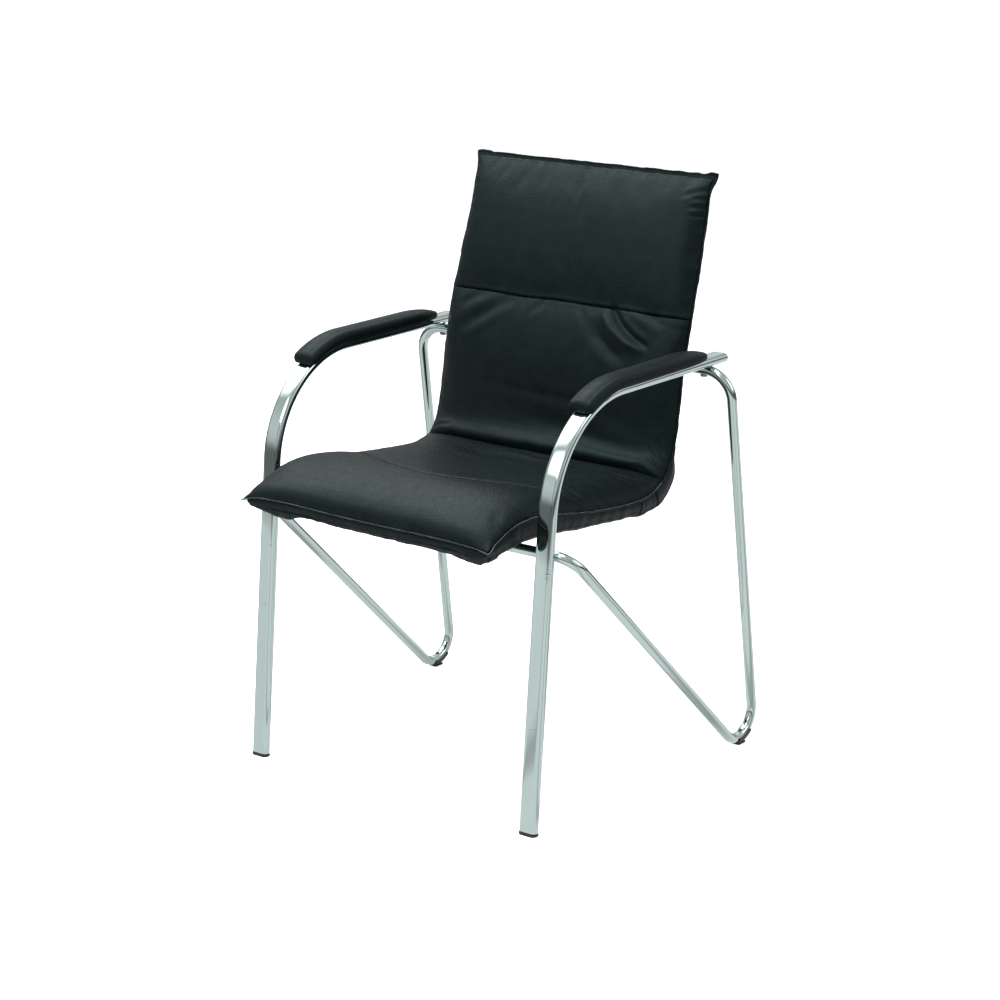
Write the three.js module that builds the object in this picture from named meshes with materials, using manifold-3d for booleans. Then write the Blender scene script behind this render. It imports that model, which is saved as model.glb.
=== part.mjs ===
// Visitor chair with a tubular steel frame and a one-piece upholstered seat and back.
// Two flat-oval tubes are the front legs and the arms, and one round tube is the rear loop.
// Millimetres, +Z up. The sitter faces -Y, and the sitter's left hand is on +X.
// Y is counted from the foot of the front legs. The finished chair is then centred on its own bounds.

import * as THREE from 'three';
import { mergeVertices } from 'three/addons/utils/BufferGeometryUtils.js';
import Module from 'manifold-3d';

const wasm = await Module();
wasm.setup();

// Clearances and fineness

const fit = 0.3; // gap between pieces that touch
const overrun = 3; // how far a cut runs past the wall that it goes through
const arcStep = THREE.MathUtils.degToRad(13);
const armBendSteps = 10; // rings around the arm's wide bend
const ovalCornerSegments = 1; // flats at each corner of the oval sections

// Flat-oval tubes: front legs and arms

const armSpacing = 530; // between the middle planes of the two tubes
const ovalWidth = 30;
const ovalThickness = 15;
const ovalCorner = 6;
const ovalWall = 1.5;
const legLean = THREE.MathUtils.degToRad(5.2);
const armTop = 639; // height of the arm tube's upper face
const armBendRadius = 172; // of the centre line
const armPastCrossbar = 33; // how far the arm's rear end lies behind the crossbar
const armCapPlate = 1.6;
const plugSpigot = 18; // how far end caps and foot plugs reach into the tube

// Front feet

const footCollar = 4; // plastic between the tube's end and the floor
const footRim = 0.8; // how far the collar stands out around the tube

// Rear loop: cross tube under the seat, struts, rear legs and crossbar behind the back

const loopRadius = 8;
const loopWall = 1.5;
const crossTubeBelowBend = 59.1; // from where the arm's bend begins on the leg down to the cross tube
const footPastCrossbar = 37; // how far the rear feet lie behind the crossbar
const crossbarGap = 2.3; // from the cover on the back to the crossbar, measured level
const strutOutside = 37; // from the arm's middle plane out to the corner where the strut begins
const footOutside = 48; // and out to the rear foot
const crossbarOutside = 40; // and out to the corner where the crossbar begins
const strutBendRadius = 36;
const footBendRadius = 42;
const topBendRadius = 45;
const loopSpigotLength = 70; // sleeve inside the butt joint under the seat
const loopSegments = 6; // half as many flats as there are around the tube

// Rear feet: a clip under each bend and the pin that holds it

const clipFloor = 3; // plastic between the tube and the floor
const clipWall = 2.4;
const clipSpace = 0.7; // between the clip's facets and the tube's
const clipFrontAngle = THREE.MathUtils.degToRad(6);
const clipRearAngle = THREE.MathUtils.degToRad(38);
const clipStep = THREE.MathUtils.degToRad(11);
const clipSides = 14;
const footSearchStep = THREE.MathUtils.degToRad(2.75); // between the trials for the bend's lowest place
const clipPlateShare = 0.5; // how much of the clip's rear part has the flat plate under it
const pinRadius = 2.4;
const pinHeadRadius = 3.6;
const pinHead = 1.2;

// Seat and back profile: the seam line seen from the side, from the front seam to the top seam

const seamFrontY = -52;
const seatGap = 5.2; // from the cross tube up to the cover under the seat
const profileRun = 578;
const profileRise = 470;
const shellDepth = 37; // from the seam line to the underside where the seat is thickest
const legToSeat = 19; // from each leg's inner face to the side seam
const profileDivisions = 800; // for measuring along the seam line
const profileTrials = 400; // for finding a place on it

// Each row: run, rise, depth below the seam and half width, as shares of the seat and back's own sizes
const profileShares = [
  [0, 0, 0.48, 1],
  [0.038, 0.023, 0.7, 0.995],
  [0.111, 0.053, 0.98, 0.995],
  [0.18, 0.06, 1, 1],
  [0.277, 0.045, 0.89, 1],
  [0.384, 0.019, 0.78, 1],
  [0.514, -0.004, 0.68, 1],
  [0.623, -0.015, 0.7, 1],
  [0.696, -0.013, 0.85, 1],
  [0.751, 0.011, 1.06, 1],
  [0.787, 0.049, 0.98, 1],
  [0.81, 0.1, 0.54, 1],
  [0.824, 0.164, 0.32, 1],
  [0.836, 0.238, 0.27, 1],
  [0.85, 0.345, 0.24, 1],
  [0.882, 0.504, 0.24, 1],
  [0.923, 0.664, 0.24, 0.99],
  [0.965, 0.834, 0.24, 0.975],
  [0.988, 0.95, 0.24, 0.97],
  [0.998, 0.987, 0.22, 0.985],
];
const creaseShare = 0.4865; // where along the profile the seat ends and the back begins

// Padding on the front of the profile

const seamSpace = 1.5; // from the seam line up to the padding and down to the cover
const seatCrown = 32;
const backCrown = 28;
const crownEdge = 1.2; // thickness of the padding at its very edge
const seatEdgePower = 6; // a higher power keeps the crown full nearer to the side seams
const backEdgePower = 6;
const crownColumns = 18;
const seatSeamBow = 0.19; // how far the seat's cross seam curves back at the sides, as a share

// Each row: place from the front seam to the crease, height of the crown and depth of its dish, as shares
const seatRowShares = [
  [0, 0.04, 0],
  [0.012, 0.34, 0],
  [0.03, 0.58, 0],
  [0.06, 0.79, 0],
  [0.1, 0.92, 0],
  [0.15, 0.98, 0],
  [0.21, 1, 0],
  [0.27, 1, 0.02],
  [0.306, 0.97, 0.08],
  [0.33, 0.86, 0.16],
  [0.352, 0.93, 0.22],
  [0.4, 0.97, 0.28],
  [0.49, 0.98, 0.3],
  [0.6, 0.97, 0.3],
  [0.71, 0.94, 0.26],
  [0.8, 0.88, 0.2],
  [0.87, 0.8, 0.12],
  [0.93, 0.68, 0.05],
  [0.975, 0.55, 0],
  [1, 0.4, 0],
];
const seatSeamRow = 9;

// Each row: place from the crease to the top seam and height of the crown, as shares
const backRowShares = [
  [0, 0.46],
  [0.018, 0.66],
  [0.04, 0.84],
  [0.07, 0.92],
  [0.1, 0.84],
  [0.135, 0.62],
  [0.165, 0.56],
  [0.21, 0.64],
  [0.29, 0.75],
  [0.39, 0.8],
  [0.48, 0.76],
  [0.522, 0.68],
  [0.538, 0.52],
  [0.554, 0.68],
  [0.61, 0.77],
  [0.69, 0.8],
  [0.77, 0.8],
  [0.84, 0.76],
  [0.9, 0.67],
  [0.945, 0.5],
  [0.978, 0.29],
  [1, 0.06],
];

// Seam flange: the two covers' edges sewn together and left standing out

const flangeThickness = 2.4;
const flangeInset = 5;
const flangeReach = 6;
const earReach = 9; // at the four corners
const flangeColumns = 10;

// Bent plywood shell inside, and the cover on its back and underside

const plyThickness = 7;
const coverSkin = 1.8;
const coverWall = 4;
const coverTuck = 5; // how far the cover's sides draw in at the underside
const coverBellyShare = 0.25; // how much of that is reached half way down
const coverEndWall = 4;
const plySideGap = 12; // soft filling between the plywood's edge and the cover's wall
const plyEndGap = 8;
const foamEndRow = 5; // row of the back's padding where the foam behind it runs out

// Arm pads

const padWidth = 44;
const padHeight = 17.5;
const padCrownShare = 0.42; // the part of the pad's height that is rounded over
const padFrontOnBend = 93; // how far the pad reaches down the bend from the straight arm
const padTailGap = 43.5; // from the pad's rear tip to the arm's end
const padFrontRounding = 4;
const padFrontShares = [0.3, 1]; // where the rings of the rounded front edge lie
const padTailLength = 70; // over which the rear end narrows
const padTailHeightShare = 0.35;
const padCrownPower = 2.4;
const padTailPower = 1.8;
const padTipHalf = 3; // half the width that is left at the very tip
const padTailSteps = 7;
const padColumns = 9;
const baseThickness = 6; // let into the pad's underside
const baseWidth = 28;
const baseSetback = 5; // from the pad's front face
const baseTailSetback = 24; // from the pad's rear tip

// Fasteners

const boltRadius = 3;
const boltHole = boltRadius + fit;
const boltHeadRadius = 6;
const boltHead = 3.5;
const frameBoltInset = 7.5; // from the arm's middle plane inwards, onto the loop's straight runs
const padScrewRadius = 2;
const padScrewHole = padScrewRadius + fit;
const padScrewHeadRadius = 4;
const padScrewHead = 2.4;
const padScrewBite = 4.6; // how far the screw reaches into the pad's base
const padScrewFront = 40; // from where the straight arm begins
const padScrewRear = 52; // from the pad's rear tip
const insertRadius = 4.6;
const insertLength = 9;
const nutFlangeRadius = 9;
const nutFlange = 1.4;
const nutSink = 0.6; // from the plywood's front face down to the flange
const nutBarrelRadius = 4.4;
const seatMountInset = 91; // from the side seam to the middle of each seat saddle
const backMountInset = 81;
const seatSaddleLength = 44;
const backSaddleLength = 36;
const saddleHalfWidth = 8.5;
const saddleSpace = 0.7; // from the flat saddle to the gently curved cover
const saddleWrap = 3; // how far the saddle's cheeks reach past the tube's top
const screwSides = 10;

// Materials

const chrome = new THREE.MeshStandardMaterial({ color: 0xc4d0ce, roughness: 0.12, metalness: 1 });
const leatherette = new THREE.MeshStandardMaterial({ color: 0x22292b, roughness: 0.5, metalness: 0 });
const blackPlastic = new THREE.MeshStandardMaterial({ color: 0x15181a, roughness: 0.55, metalness: 0 });
const plywood = new THREE.MeshStandardMaterial({ color: 0xc79a64, roughness: 0.7, metalness: 0 });
const zincSteel = new THREE.MeshStandardMaterial({ color: 0x9da3a8, roughness: 0.35, metalness: 1 });
const foam = new THREE.MeshStandardMaterial({ color: 0xd9cda4, roughness: 0.95, metalness: 0 });

const chair = new THREE.Group();
const sides = { left: 1, right: -1 };

function addPart(name, geometry, material) {
  const mesh = new THREE.Mesh(geometry, material.clone());
  mesh.name = name;
  chair.add(mesh);
  return mesh;
}

// Solids for cutting and joining

function solidOf(geometry) {
  const bare = geometry.clone();
  bare.deleteAttribute('normal');
  bare.deleteAttribute('uv');
  const merged = mergeVertices(bare);
  const vertProperties = new Float32Array(merged.attributes.position.array);
  const triVerts = new Uint32Array(merged.index.array);
  return new wasm.Manifold(new wasm.Mesh({ numProp: 3, vertProperties, triVerts }));
}

function geometryOf(solid) {
  const mesh = solid.getMesh();
  const geometry = new THREE.BufferGeometry();
  geometry.setAttribute('position', new THREE.BufferAttribute(mesh.vertProperties, 3));
  geometry.setIndex(new THREE.BufferAttribute(mesh.triVerts, 1));
  return geometry;
}

function cut(geometry, cutters) {
  let solid = solidOf(geometry);
  for (const cutter of cutters) {
    solid = solid.subtract(solidOf(cutter));
  }
  return geometryOf(solid);
}

function join(geometries) {
  let solid = solidOf(geometries[0]);
  for (const geometry of geometries.slice(1)) {
    solid = solid.add(solidOf(geometry));
  }
  return geometryOf(solid);
}

// A closed skin over a row of rings. Every ring is a closed outline with the same number of points,
// and runs anticlockwise when seen from the row's far end. An endless row joins its last ring to its first.
function loft(rings, endless = false) {
  const count = rings[0].length;
  const positions = rings.flat().flatMap((point) => point.toArray());
  const index = [];
  const spans = endless ? rings.length : rings.length - 1;
  for (let row = 0; row < spans; row += 1) {
    const ahead = ((row + 1) % rings.length) * count;
    for (let place = 0; place < count; place += 1) {
      const next = (place + 1) % count;
      const here = row * count;
      index.push(here + place, here + next, ahead + next);
      index.push(here + place, ahead + next, ahead + place);
    }
  }
  const last = (rings.length - 1) * count;
  for (let place = 1; place + 1 < count && !endless; place += 1) {
    index.push(0, place + 1, place);
    index.push(last, last + place, last + place + 1);
  }
  const geometry = new THREE.BufferGeometry();
  geometry.setAttribute('position', new THREE.Float32BufferAttribute(positions, 3));
  geometry.setIndex(index);
  return geometry;
}

// Turned parts: a profile of [radius, height] corners around Z
function turned(corners) {
  const outline = corners.map(([radius, height]) => new THREE.Vector2(radius, height));
  const geometry = new THREE.LatheGeometry(outline, screwSides);
  geometry.rotateX(Math.PI / 2);
  return geometry;
}

// A screw, bolt or pin along Z: its head lies below the origin and its shank above
function headedPin({ radius, length, headRadius, head }) {
  return turned([
    [0, -head],
    [headRadius, -head],
    [headRadius, 0],
    [radius, 0],
    [radius, length],
    [0, length],
  ]);
}

// A ring along Z that starts at the origin
function bush(outerRadius, innerRadius, length) {
  return turned([
    [innerRadius, 0],
    [outerRadius, 0],
    [outerRadius, length],
    [innerRadius, length],
    [innerRadius, 0],
  ]);
}

const cylinderAxis = new THREE.Vector3(0, 1, 0);
const acrossAxis = new THREE.Vector3(1, 0, 0);
const risingAxis = new THREE.Vector3(0, 0, 1);

// A rod along an axis, given by its two ends
function rod(start, end, radius) {
  const axis = end.clone().sub(start);
  const geometry = new THREE.CylinderGeometry(radius, radius, axis.length(), screwSides);
  geometry.applyQuaternion(new THREE.Quaternion().setFromUnitVectors(cylinderAxis, axis.clone().normalize()));
  geometry.translate(...start.clone().add(end).divideScalar(2).toArray());
  return geometry;
}

// Turns a part made around Z so that it points along a direction, and moves its origin to a point
function aim(geometry, direction, point) {
  geometry.applyQuaternion(new THREE.Quaternion().setFromUnitVectors(risingAxis, direction));
  geometry.translate(...point.toArray());
  return geometry;
}

// A centre line of straight runs joined by arcs. It has a station at both ends
// and at even steps along every arc, so that a tube swept along it has rings only where they matter.
class BentLine extends THREE.Curve {
  constructor(corners, radii, step) {
    super();
    const heading = (from, to) => to.clone().sub(from).normalize();
    const ahead = heading(corners[0], corners[1]);
    this.stations = [{ point: corners[0], tangent: ahead }];
    radii.forEach((radius, bend) => {
      const arriving = heading(corners[bend], corners[bend + 1]);
      const leaving = heading(corners[bend + 1], corners[bend + 2]);
      this.addArc(corners[bend + 1], arriving, leaving, radius, step);
    });
    const end = corners.at(-1);
    this.stations.push({ point: end, tangent: heading(corners.at(-2), end) });
  }

  addArc(corner, arriving, leaving, radius, step) {
    const turn = arriving.angleTo(leaving);
    const inward = leaving.clone().addScaledVector(arriving, -Math.cos(turn)).normalize();
    const start = corner.clone().addScaledVector(arriving, -radius * Math.tan(turn / 2));
    const centre = start.clone().addScaledVector(inward, radius);
    const count = Math.ceil(turn / step);
    for (let place = 0; place <= count; place += 1) {
      const angle = (turn * place) / count;
      const point = centre.clone().addScaledVector(inward, -radius * Math.cos(angle));
      point.addScaledVector(arriving, radius * Math.sin(angle));
      const tangent = arriving.clone().multiplyScalar(Math.cos(angle));
      tangent.addScaledVector(inward, Math.sin(angle));
      this.stations.push({ point, tangent });
    }
  }

  get steps() {
    return this.stations.length - 1;
  }

  getPointAt(share, target = new THREE.Vector3()) {
    return target.copy(this.stations[Math.round(share * this.steps)].point);
  }

  getTangentAt(share, target = new THREE.Vector3()) {
    return target.copy(this.stations[Math.round(share * this.steps)].tangent);
  }
}

function sweep(shape, line, curveSegments) {
  return new THREE.ExtrudeGeometry(shape, { steps: line.steps, extrudePath: line, curveSegments });
}

// A straight bar of one section that starts at a point and leans back from the vertical by an angle
function prism(shape, start, lean, length) {
  const options = { depth: length, bevelEnabled: false, curveSegments: ovalCornerSegments };
  const geometry = new THREE.ExtrudeGeometry(shape, options);
  geometry.rotateX(-lean);
  geometry.translate(...start.toArray());
  return geometry;
}

// Sections

function traceRoundedBox(path, width, height, corner) {
  const x = width / 2 - corner;
  const y = height / 2 - corner;
  path.absarc(x, y, corner, 0, Math.PI / 2);
  path.absarc(-x, y, corner, Math.PI / 2, Math.PI);
  path.absarc(-x, -y, corner, Math.PI, Math.PI * 1.5);
  path.absarc(x, -y, corner, Math.PI * 1.5, Math.PI * 2);
  path.closePath();
  return path;
}

function roundedBox(width, height, corner) {
  return traceRoundedBox(new THREE.Shape(), width, height, corner);
}

function ovalTubeSection() {
  const shape = roundedBox(ovalWidth, ovalThickness, ovalCorner);
  const innerWidth = ovalWidth - 2 * ovalWall;
  const innerThickness = ovalThickness - 2 * ovalWall;
  shape.holes.push(traceRoundedBox(new THREE.Path(), innerWidth, innerThickness, ovalCorner - ovalWall));
  return shape;
}

function ovalSpigotSection() {
  const lost = 2 * (ovalWall + fit);
  return roundedBox(ovalWidth - lost, ovalThickness - lost, ovalCorner - ovalWall - fit);
}

function roundTubeSection() {
  const shape = new THREE.Shape().absarc(0, 0, loopRadius, 0, Math.PI * 2);
  shape.holes.push(new THREE.Path().absarc(0, 0, loopRadius - loopWall, 0, Math.PI * 2));
  return shape;
}

// Centre line of a leg and arm, in its own middle plane

const legHeading = new THREE.Vector3(0, Math.sin(legLean), Math.cos(legLean));
const armCentre = armTop - ovalThickness / 2;
const legEndHeight = footCollar + (ovalThickness / 2) * Math.sin(legLean);
const legYAt = (height) => height * Math.tan(legLean);
const legEnd = new THREE.Vector3(0, legYAt(legEndHeight), legEndHeight);
const armCorner = new THREE.Vector3(0, legYAt(armCentre), armCentre);
const armTurn = Math.PI / 2 - legLean;
const bendReach = armBendRadius * Math.tan(armTurn / 2); // from the corner to where the bend begins and ends
const armStart = armCorner.y + bendReach; // where the straight arm begins
const crossTubeHeight = armCentre - bendReach * Math.cos(legLean) - crossTubeBelowBend;
const crossTubeY = legYAt(crossTubeHeight) + ovalThickness / 2 / Math.cos(legLean) + loopRadius + fit;
const crossbarHeight = armTop - ovalThickness - loopRadius - fit;
const armHalf = armSpacing / 2;

// A place along the arm: distance back from where the straight arm begins, negative on the bend
function armPlace(distance) {
  const angle = Math.max(0, -distance / armBendRadius);
  const drop = armBendRadius * (1 - Math.cos(angle));
  const reach = distance > 0 ? distance : -armBendRadius * Math.sin(angle);
  const point = new THREE.Vector3(0, armStart + reach, armCentre - drop);
  const outward = new THREE.Vector3(0, -Math.sin(angle), Math.cos(angle));
  return { point, outward };
}

// The seat and back's profile

const bodyHalf = armHalf - ovalWidth / 2 - legToSeat; // half the width between the side seams
const profileRows = profileShares.map(([run, rise, depth, half]) => ({
  point: new THREE.Vector3(0, seamFrontY + run * profileRun, rise * profileRise),
  depth: depth * shellDepth,
  half: half * bodyHalf,
}));
const seamCurve = new THREE.CatmullRomCurve3(profileRows.map((row) => row.point), false, 'centripetal');
seamCurve.arcLengthDivisions = profileDivisions;
const profileLength = seamCurve.getLength();

// Depth and half width between the rows, eased from row to row
function profileSize(share) {
  const t = seamCurve.getUtoTmapping(share) * (profileRows.length - 1);
  const row = Math.min(Math.floor(t), profileRows.length - 2);
  const part = THREE.MathUtils.smoothstep(t - row, 0, 1);
  const { depth, half } = profileRows[row];
  const next = profileRows[row + 1];
  return {
    depth: THREE.MathUtils.lerp(depth, next.depth, part),
    half: THREE.MathUtils.lerp(half, next.half, part),
  };
}

// A place on the seam line, with its heading along the profile and its outward side towards the sitter
function profilePlace(share) {
  const point = seamCurve.getPointAt(THREE.MathUtils.clamp(share, 0, 1));
  const tangent = seamCurve.getTangentAt(THREE.MathUtils.clamp(share, 0, 1));
  const outward = new THREE.Vector3(0, -tangent.z, tangent.y);
  return { point, tangent, outward, ...profileSize(THREE.MathUtils.clamp(share, 0, 1)) };
}

// A point beside the seam line: across the chair and out from the seam
function bodyPoint(place, across, out) {
  const point = place.point.clone().addScaledVector(place.outward, out);
  point.x = across;
  return point;
}

// The place on a stretch of the profile where a measure of the point on its underside is least
function bestPlace(from, to, measure) {
  let best = null;
  for (let trial = 0; trial <= profileTrials; trial += 1) {
    const place = profilePlace(THREE.MathUtils.lerp(from, to, trial / profileTrials));
    const under = bodyPoint(place, 0, -place.depth);
    const size = measure(under);
    if (best === null || size < best.size) {
      best = { under, size };
    }
  }
  return best;
}

// The profile is lifted until the seat stands over the cross tube
const overTube = bestPlace(0, creaseShare, (under) => Math.abs(under.y - crossTubeY)).under;
const seatLift = crossTubeHeight + loopRadius + seatGap - overTube.z;
for (const point of seamCurve.points) {
  point.z += seatLift;
}
seamCurve.updateArcLengths();

// The crossbar lies behind the back, and the arms and the rear feet end behind the crossbar
const backFace = bestPlace(creaseShare, 1, (under) => Math.abs(under.z - crossbarHeight)).under;
const crossbarY = backFace.y + crossbarGap + loopRadius;
const armEnd = crossbarY + armPastCrossbar;
const armTip = new THREE.Vector3(0, armEnd - armCapPlate - fit, armCentre);
const rearFootY = crossbarY + footPastCrossbar;
const padOnArm = armEnd - armStart - padTailGap; // how far the pad reaches back along the straight arm
const padScrewPlaces = { front: padScrewFront, rear: padOnArm - padScrewRear };

// Leg and arm tubes, their plugs and caps

function legBolt(sign) {
  const start = new THREE.Vector3(-sign * frameBoltInset, crossTubeY, crossTubeHeight);
  return { start, direction: new THREE.Vector3(0, -1, 0) };
}

function armBolt(sign) {
  const start = new THREE.Vector3(-sign * frameBoltInset, crossbarY, crossbarHeight);
  return { start, direction: risingAxis.clone() };
}

function insertSeat({ start, direction }, radius) {
  const face = start.clone().addScaledVector(direction, loopRadius);
  const end = face.clone().addScaledVector(direction, fit + insertLength + fit);
  return rod(face, end, radius);
}

function padScrewAxis(place) {
  const bottom = new THREE.Vector3(0, armStart + place, armTop - ovalThickness);
  const top = bottom.clone();
  top.z = armTop + baseThickness;
  return { bottom, top };
}

function legArmGeometry(sign) {
  const line = new BentLine([legEnd, armCorner, armTip], [armBendRadius], armTurn / armBendSteps);
  const tube = sweep(ovalTubeSection(), line, ovalCornerSegments);
  const cutters = [legBolt(sign), armBolt(sign)].map((bolt) => insertSeat(bolt, insertRadius + fit));
  for (const place of Object.values(padScrewPlaces)) {
    const { bottom, top } = padScrewAxis(place);
    bottom.z -= overrun;
    cutters.push(rod(bottom, top, padScrewHole));
  }
  return cut(tube, cutters);
}

function footPlugGeometry() {
  const reach = 2 * footCollar;
  const below = legEnd.clone().addScaledVector(legHeading, -reach);
  const rim = 2 * footRim;
  const collarSection = roundedBox(ovalWidth + rim, ovalThickness + rim, ovalCorner + footRim);
  const collar = prism(collarSection, below, legLean, reach - fit);
  const spigot = prism(ovalSpigotSection(), below, legLean, reach + plugSpigot);
  const depth = 2 * reach;
  const floor = new THREE.BoxGeometry(2 * ovalWidth, 2 * ovalWidth, depth);
  floor.translate(0, 0, -depth / 2);
  return cut(join([collar, spigot]), [floor]);
}

function armCapGeometry() {
  const plateStart = armTip.clone();
  plateStart.y += fit;
  const spigotStart = armTip.clone();
  spigotStart.y -= plugSpigot;
  const backward = Math.PI / 2;
  const plate = prism(roundedBox(ovalWidth, ovalThickness, ovalCorner), plateStart, backward, armCapPlate);
  const spigot = prism(ovalSpigotSection(), spigotStart, backward, plugSpigot + fit + armCapPlate / 2);
  return join([plate, spigot]);
}

for (const [side, sign] of Object.entries(sides)) {
  const x = sign * armHalf;
  addPart(`leg_arm_tube_${side}`, legArmGeometry(sign), chrome).position.x = x;
  addPart(`front_foot_plug_${side}`, footPlugGeometry(), blackPlastic).position.x = x;
  addPart(`arm_end_cap_${side}`, armCapGeometry(), chrome).position.x = x;
}

// Rear loop: corners of its centre line

const footBendCentre = new THREE.Vector2(rearFootY, clipFloor + loopRadius + footBendRadius);

// Where the two straight runs beside a foot bend would meet, seen from the side
function footApex() {
  const angleTo = (y, z, turnSign) => {
    const toward = new THREE.Vector2(y, z).sub(footBendCentre);
    const opening = Math.asin(footBendRadius / toward.length());
    return toward.angle() + turnSign * opening;
  };
  const legAngle = angleTo(crossbarY, crossbarHeight, 1);
  const strutAngle = angleTo(crossTubeY, crossTubeHeight, -1);
  const middle = (legAngle + strutAngle) / 2;
  const reach = footBendRadius / Math.sin((strutAngle - legAngle) / 2);
  return new THREE.Vector2(Math.cos(middle), Math.sin(middle)).multiplyScalar(-reach).add(footBendCentre);
}

const apex = footApex();
const loopCorners = (sign) => [
  new THREE.Vector3(sign * (armHalf + strutOutside), crossTubeY, crossTubeHeight),
  new THREE.Vector3(sign * (armHalf + footOutside), apex.x, apex.y),
  new THREE.Vector3(sign * (armHalf + crossbarOutside), crossbarY, crossbarHeight),
];
const loopRadii = [strutBendRadius, footBendRadius, topBendRadius];

function loopLine() {
  const leftEnd = new THREE.Vector3(fit / 2, crossTubeY, crossTubeHeight);
  const rightEnd = new THREE.Vector3(-fit / 2, crossTubeY, crossTubeHeight);
  const corners = [leftEnd, ...loopCorners(1), ...loopCorners(-1).reverse(), rightEnd];
  return new BentLine(corners, [...loopRadii, ...loopRadii.toReversed()], arcStep);
}

// The lowest place of the left foot bend, and the direction from it to the bend's centre
function footFrame(sign) {
  const [strutTop, bottom, legTop] = loopCorners(sign);
  const line = new BentLine([strutTop, bottom, legTop], [footBendRadius], footSearchStep);
  const inner = line.stations.slice(1, -1);
  const lowest = inner.reduce((best, here) => (here.point.z < best.point.z ? here : best));
  const first = inner[0];
  const last = inner.at(-1);
  const plane = first.tangent.clone().cross(last.tangent).normalize();
  const inward = plane.clone().cross(lowest.tangent).normalize();
  const centre = lowest.point.clone().addScaledVector(inward, footBendRadius);
  return { lowest: lowest.point, tangent: lowest.tangent, inward, centre, plane };
}

// A place on the foot bend, by its angle from the lowest place towards the rear leg
function footPlace(frame, angle) {
  const away = frame.inward.clone().multiplyScalar(-Math.cos(angle));
  away.addScaledVector(frame.tangent, Math.sin(angle));
  const point = frame.centre.clone().addScaledVector(away, footBendRadius);
  return { point, away };
}

const clipPinAngle = (clipRearAngle - clipFrontAngle) / 2;

function pinAxis(sign) {
  const frame = footFrame(sign);
  const { point, away } = footPlace(frame, clipPinAngle);
  return { point, away };
}

// Where the loop is screwed to the seat and the back: where their undersides are nearest to its tube

function nearestPlace(y, z, from, to) {
  const tube = new THREE.Vector3(0, y, z);
  const { under, size } = bestPlace(from, to, (here) => here.distanceTo(tube));
  const direction = under.clone().sub(tube).normalize();
  const overSaddle = bestPlace(from, to, (here) => {
    const toward = here.clone().sub(tube);
    const aside = toward.clone().cross(direction).length();
    return aside > saddleHalfWidth ? Infinity : toward.dot(direction);
  });
  return { tube, distance: size, direction, clear: overSaddle.size };
}

const seatMount = nearestPlace(crossTubeY, crossTubeHeight, 0, creaseShare);
const backMount = nearestPlace(crossbarY, crossbarHeight, creaseShare, 1);

function mountAxes(mount, inset) {
  return Object.entries(sides).map(([side, sign]) => {
    const start = mount.tube.clone();
    start.x = sign * (bodyHalf - inset);
    return { side, start, direction: mount.direction, reach: mount.distance, clear: mount.clear };
  });
}

const seatAxes = mountAxes(seatMount, seatMountInset);
const backAxes = mountAxes(backMount, backMountInset);
const shellAxes = [...seatAxes, ...backAxes];

function throughTube({ start, direction }, radius) {
  const half = loopRadius + overrun;
  const one = start.clone().addScaledVector(direction, -half);
  const other = start.clone().addScaledVector(direction, half);
  return rod(one, other, radius);
}

function placed(axis, sign) {
  const start = axis.start.clone();
  start.x += sign * armHalf;
  return { ...axis, start };
}

function rearLoopGeometry() {
  const cutters = shellAxes.map((axis) => throughTube(axis, boltHole));
  for (const sign of Object.values(sides)) {
    cutters.push(throughTube(placed(legBolt(sign), sign), boltHole));
    cutters.push(throughTube(placed(armBolt(sign), sign), boltHole));
    const { point, away } = pinAxis(sign);
    cutters.push(throughTube({ start: point, direction: away }, pinRadius + fit));
  }
  return cut(sweep(roundTubeSection(), loopLine(), loopSegments), cutters);
}

addPart('rear_loop_tube', rearLoopGeometry(), chrome);

const spigotEnd = new THREE.Vector3(loopSpigotLength / 2, crossTubeY, crossTubeHeight);
const spigotOtherEnd = spigotEnd.clone();
spigotOtherEnd.x = -spigotEnd.x;
const spigotRadius = (loopRadius - loopWall) * Math.cos(Math.PI / (2 * loopSegments)) - fit;
addPart('loop_joint_sleeve', rod(spigotEnd, spigotOtherEnd, spigotRadius), zincSteel);

// Rear feet

function clipGeometry(sign) {
  const frame = footFrame(sign);
  const rings = [];
  const innerRings = [];
  const count = Math.round((clipFrontAngle + clipRearAngle) / clipStep);
  const outerRadius = loopRadius + clipWall;
  for (let station = -1; station <= count + 1; station += 1) {
    const angle = -clipFrontAngle + ((clipFrontAngle + clipRearAngle) * station) / count;
    const { point, away } = footPlace(frame, angle);
    const ringAt = (radius) => {
      return Array.from({ length: clipSides }, (_, place) => {
        const turn = (Math.PI * 2 * place) / clipSides;
        const spoke = away.clone().multiplyScalar(Math.cos(turn));
        spoke.addScaledVector(frame.plane, -Math.sin(turn));
        return point.clone().addScaledVector(spoke, radius);
      });
    };
    innerRings.push(ringAt(loopRadius + clipSpace));
    if (station >= 0 && station <= count) {
      rings.push(ringAt(outerRadius));
    }
  }
  const pin = pinAxis(sign);
  const height = 4 * outerRadius;
  const open = new THREE.BoxGeometry(height, height, height);
  const upperSide = pin.point.clone().addScaledVector(pin.away, -height / 2);
  aim(open, pin.away.clone().negate(), upperSide);
  const foot = footPad(frame);
  const pinEnd = pin.point.clone().addScaledVector(pin.away, loopRadius + clipFloor + overrun);
  const floor = new THREE.BoxGeometry(height, height, height);
  floor.translate(frame.lowest.x, frame.lowest.y, -height / 2);
  const hole = rod(pin.point, pinEnd, pinRadius + fit);
  const recess = pin.point.clone().addScaledVector(pin.away, loopRadius + clipWall - pinHead - fit);
  const head = rod(recess, pinEnd, pinHeadRadius + fit);
  return cut(join([loft(rings), foot]), [loft(innerRings), open, hole, head, floor]);
}

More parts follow.
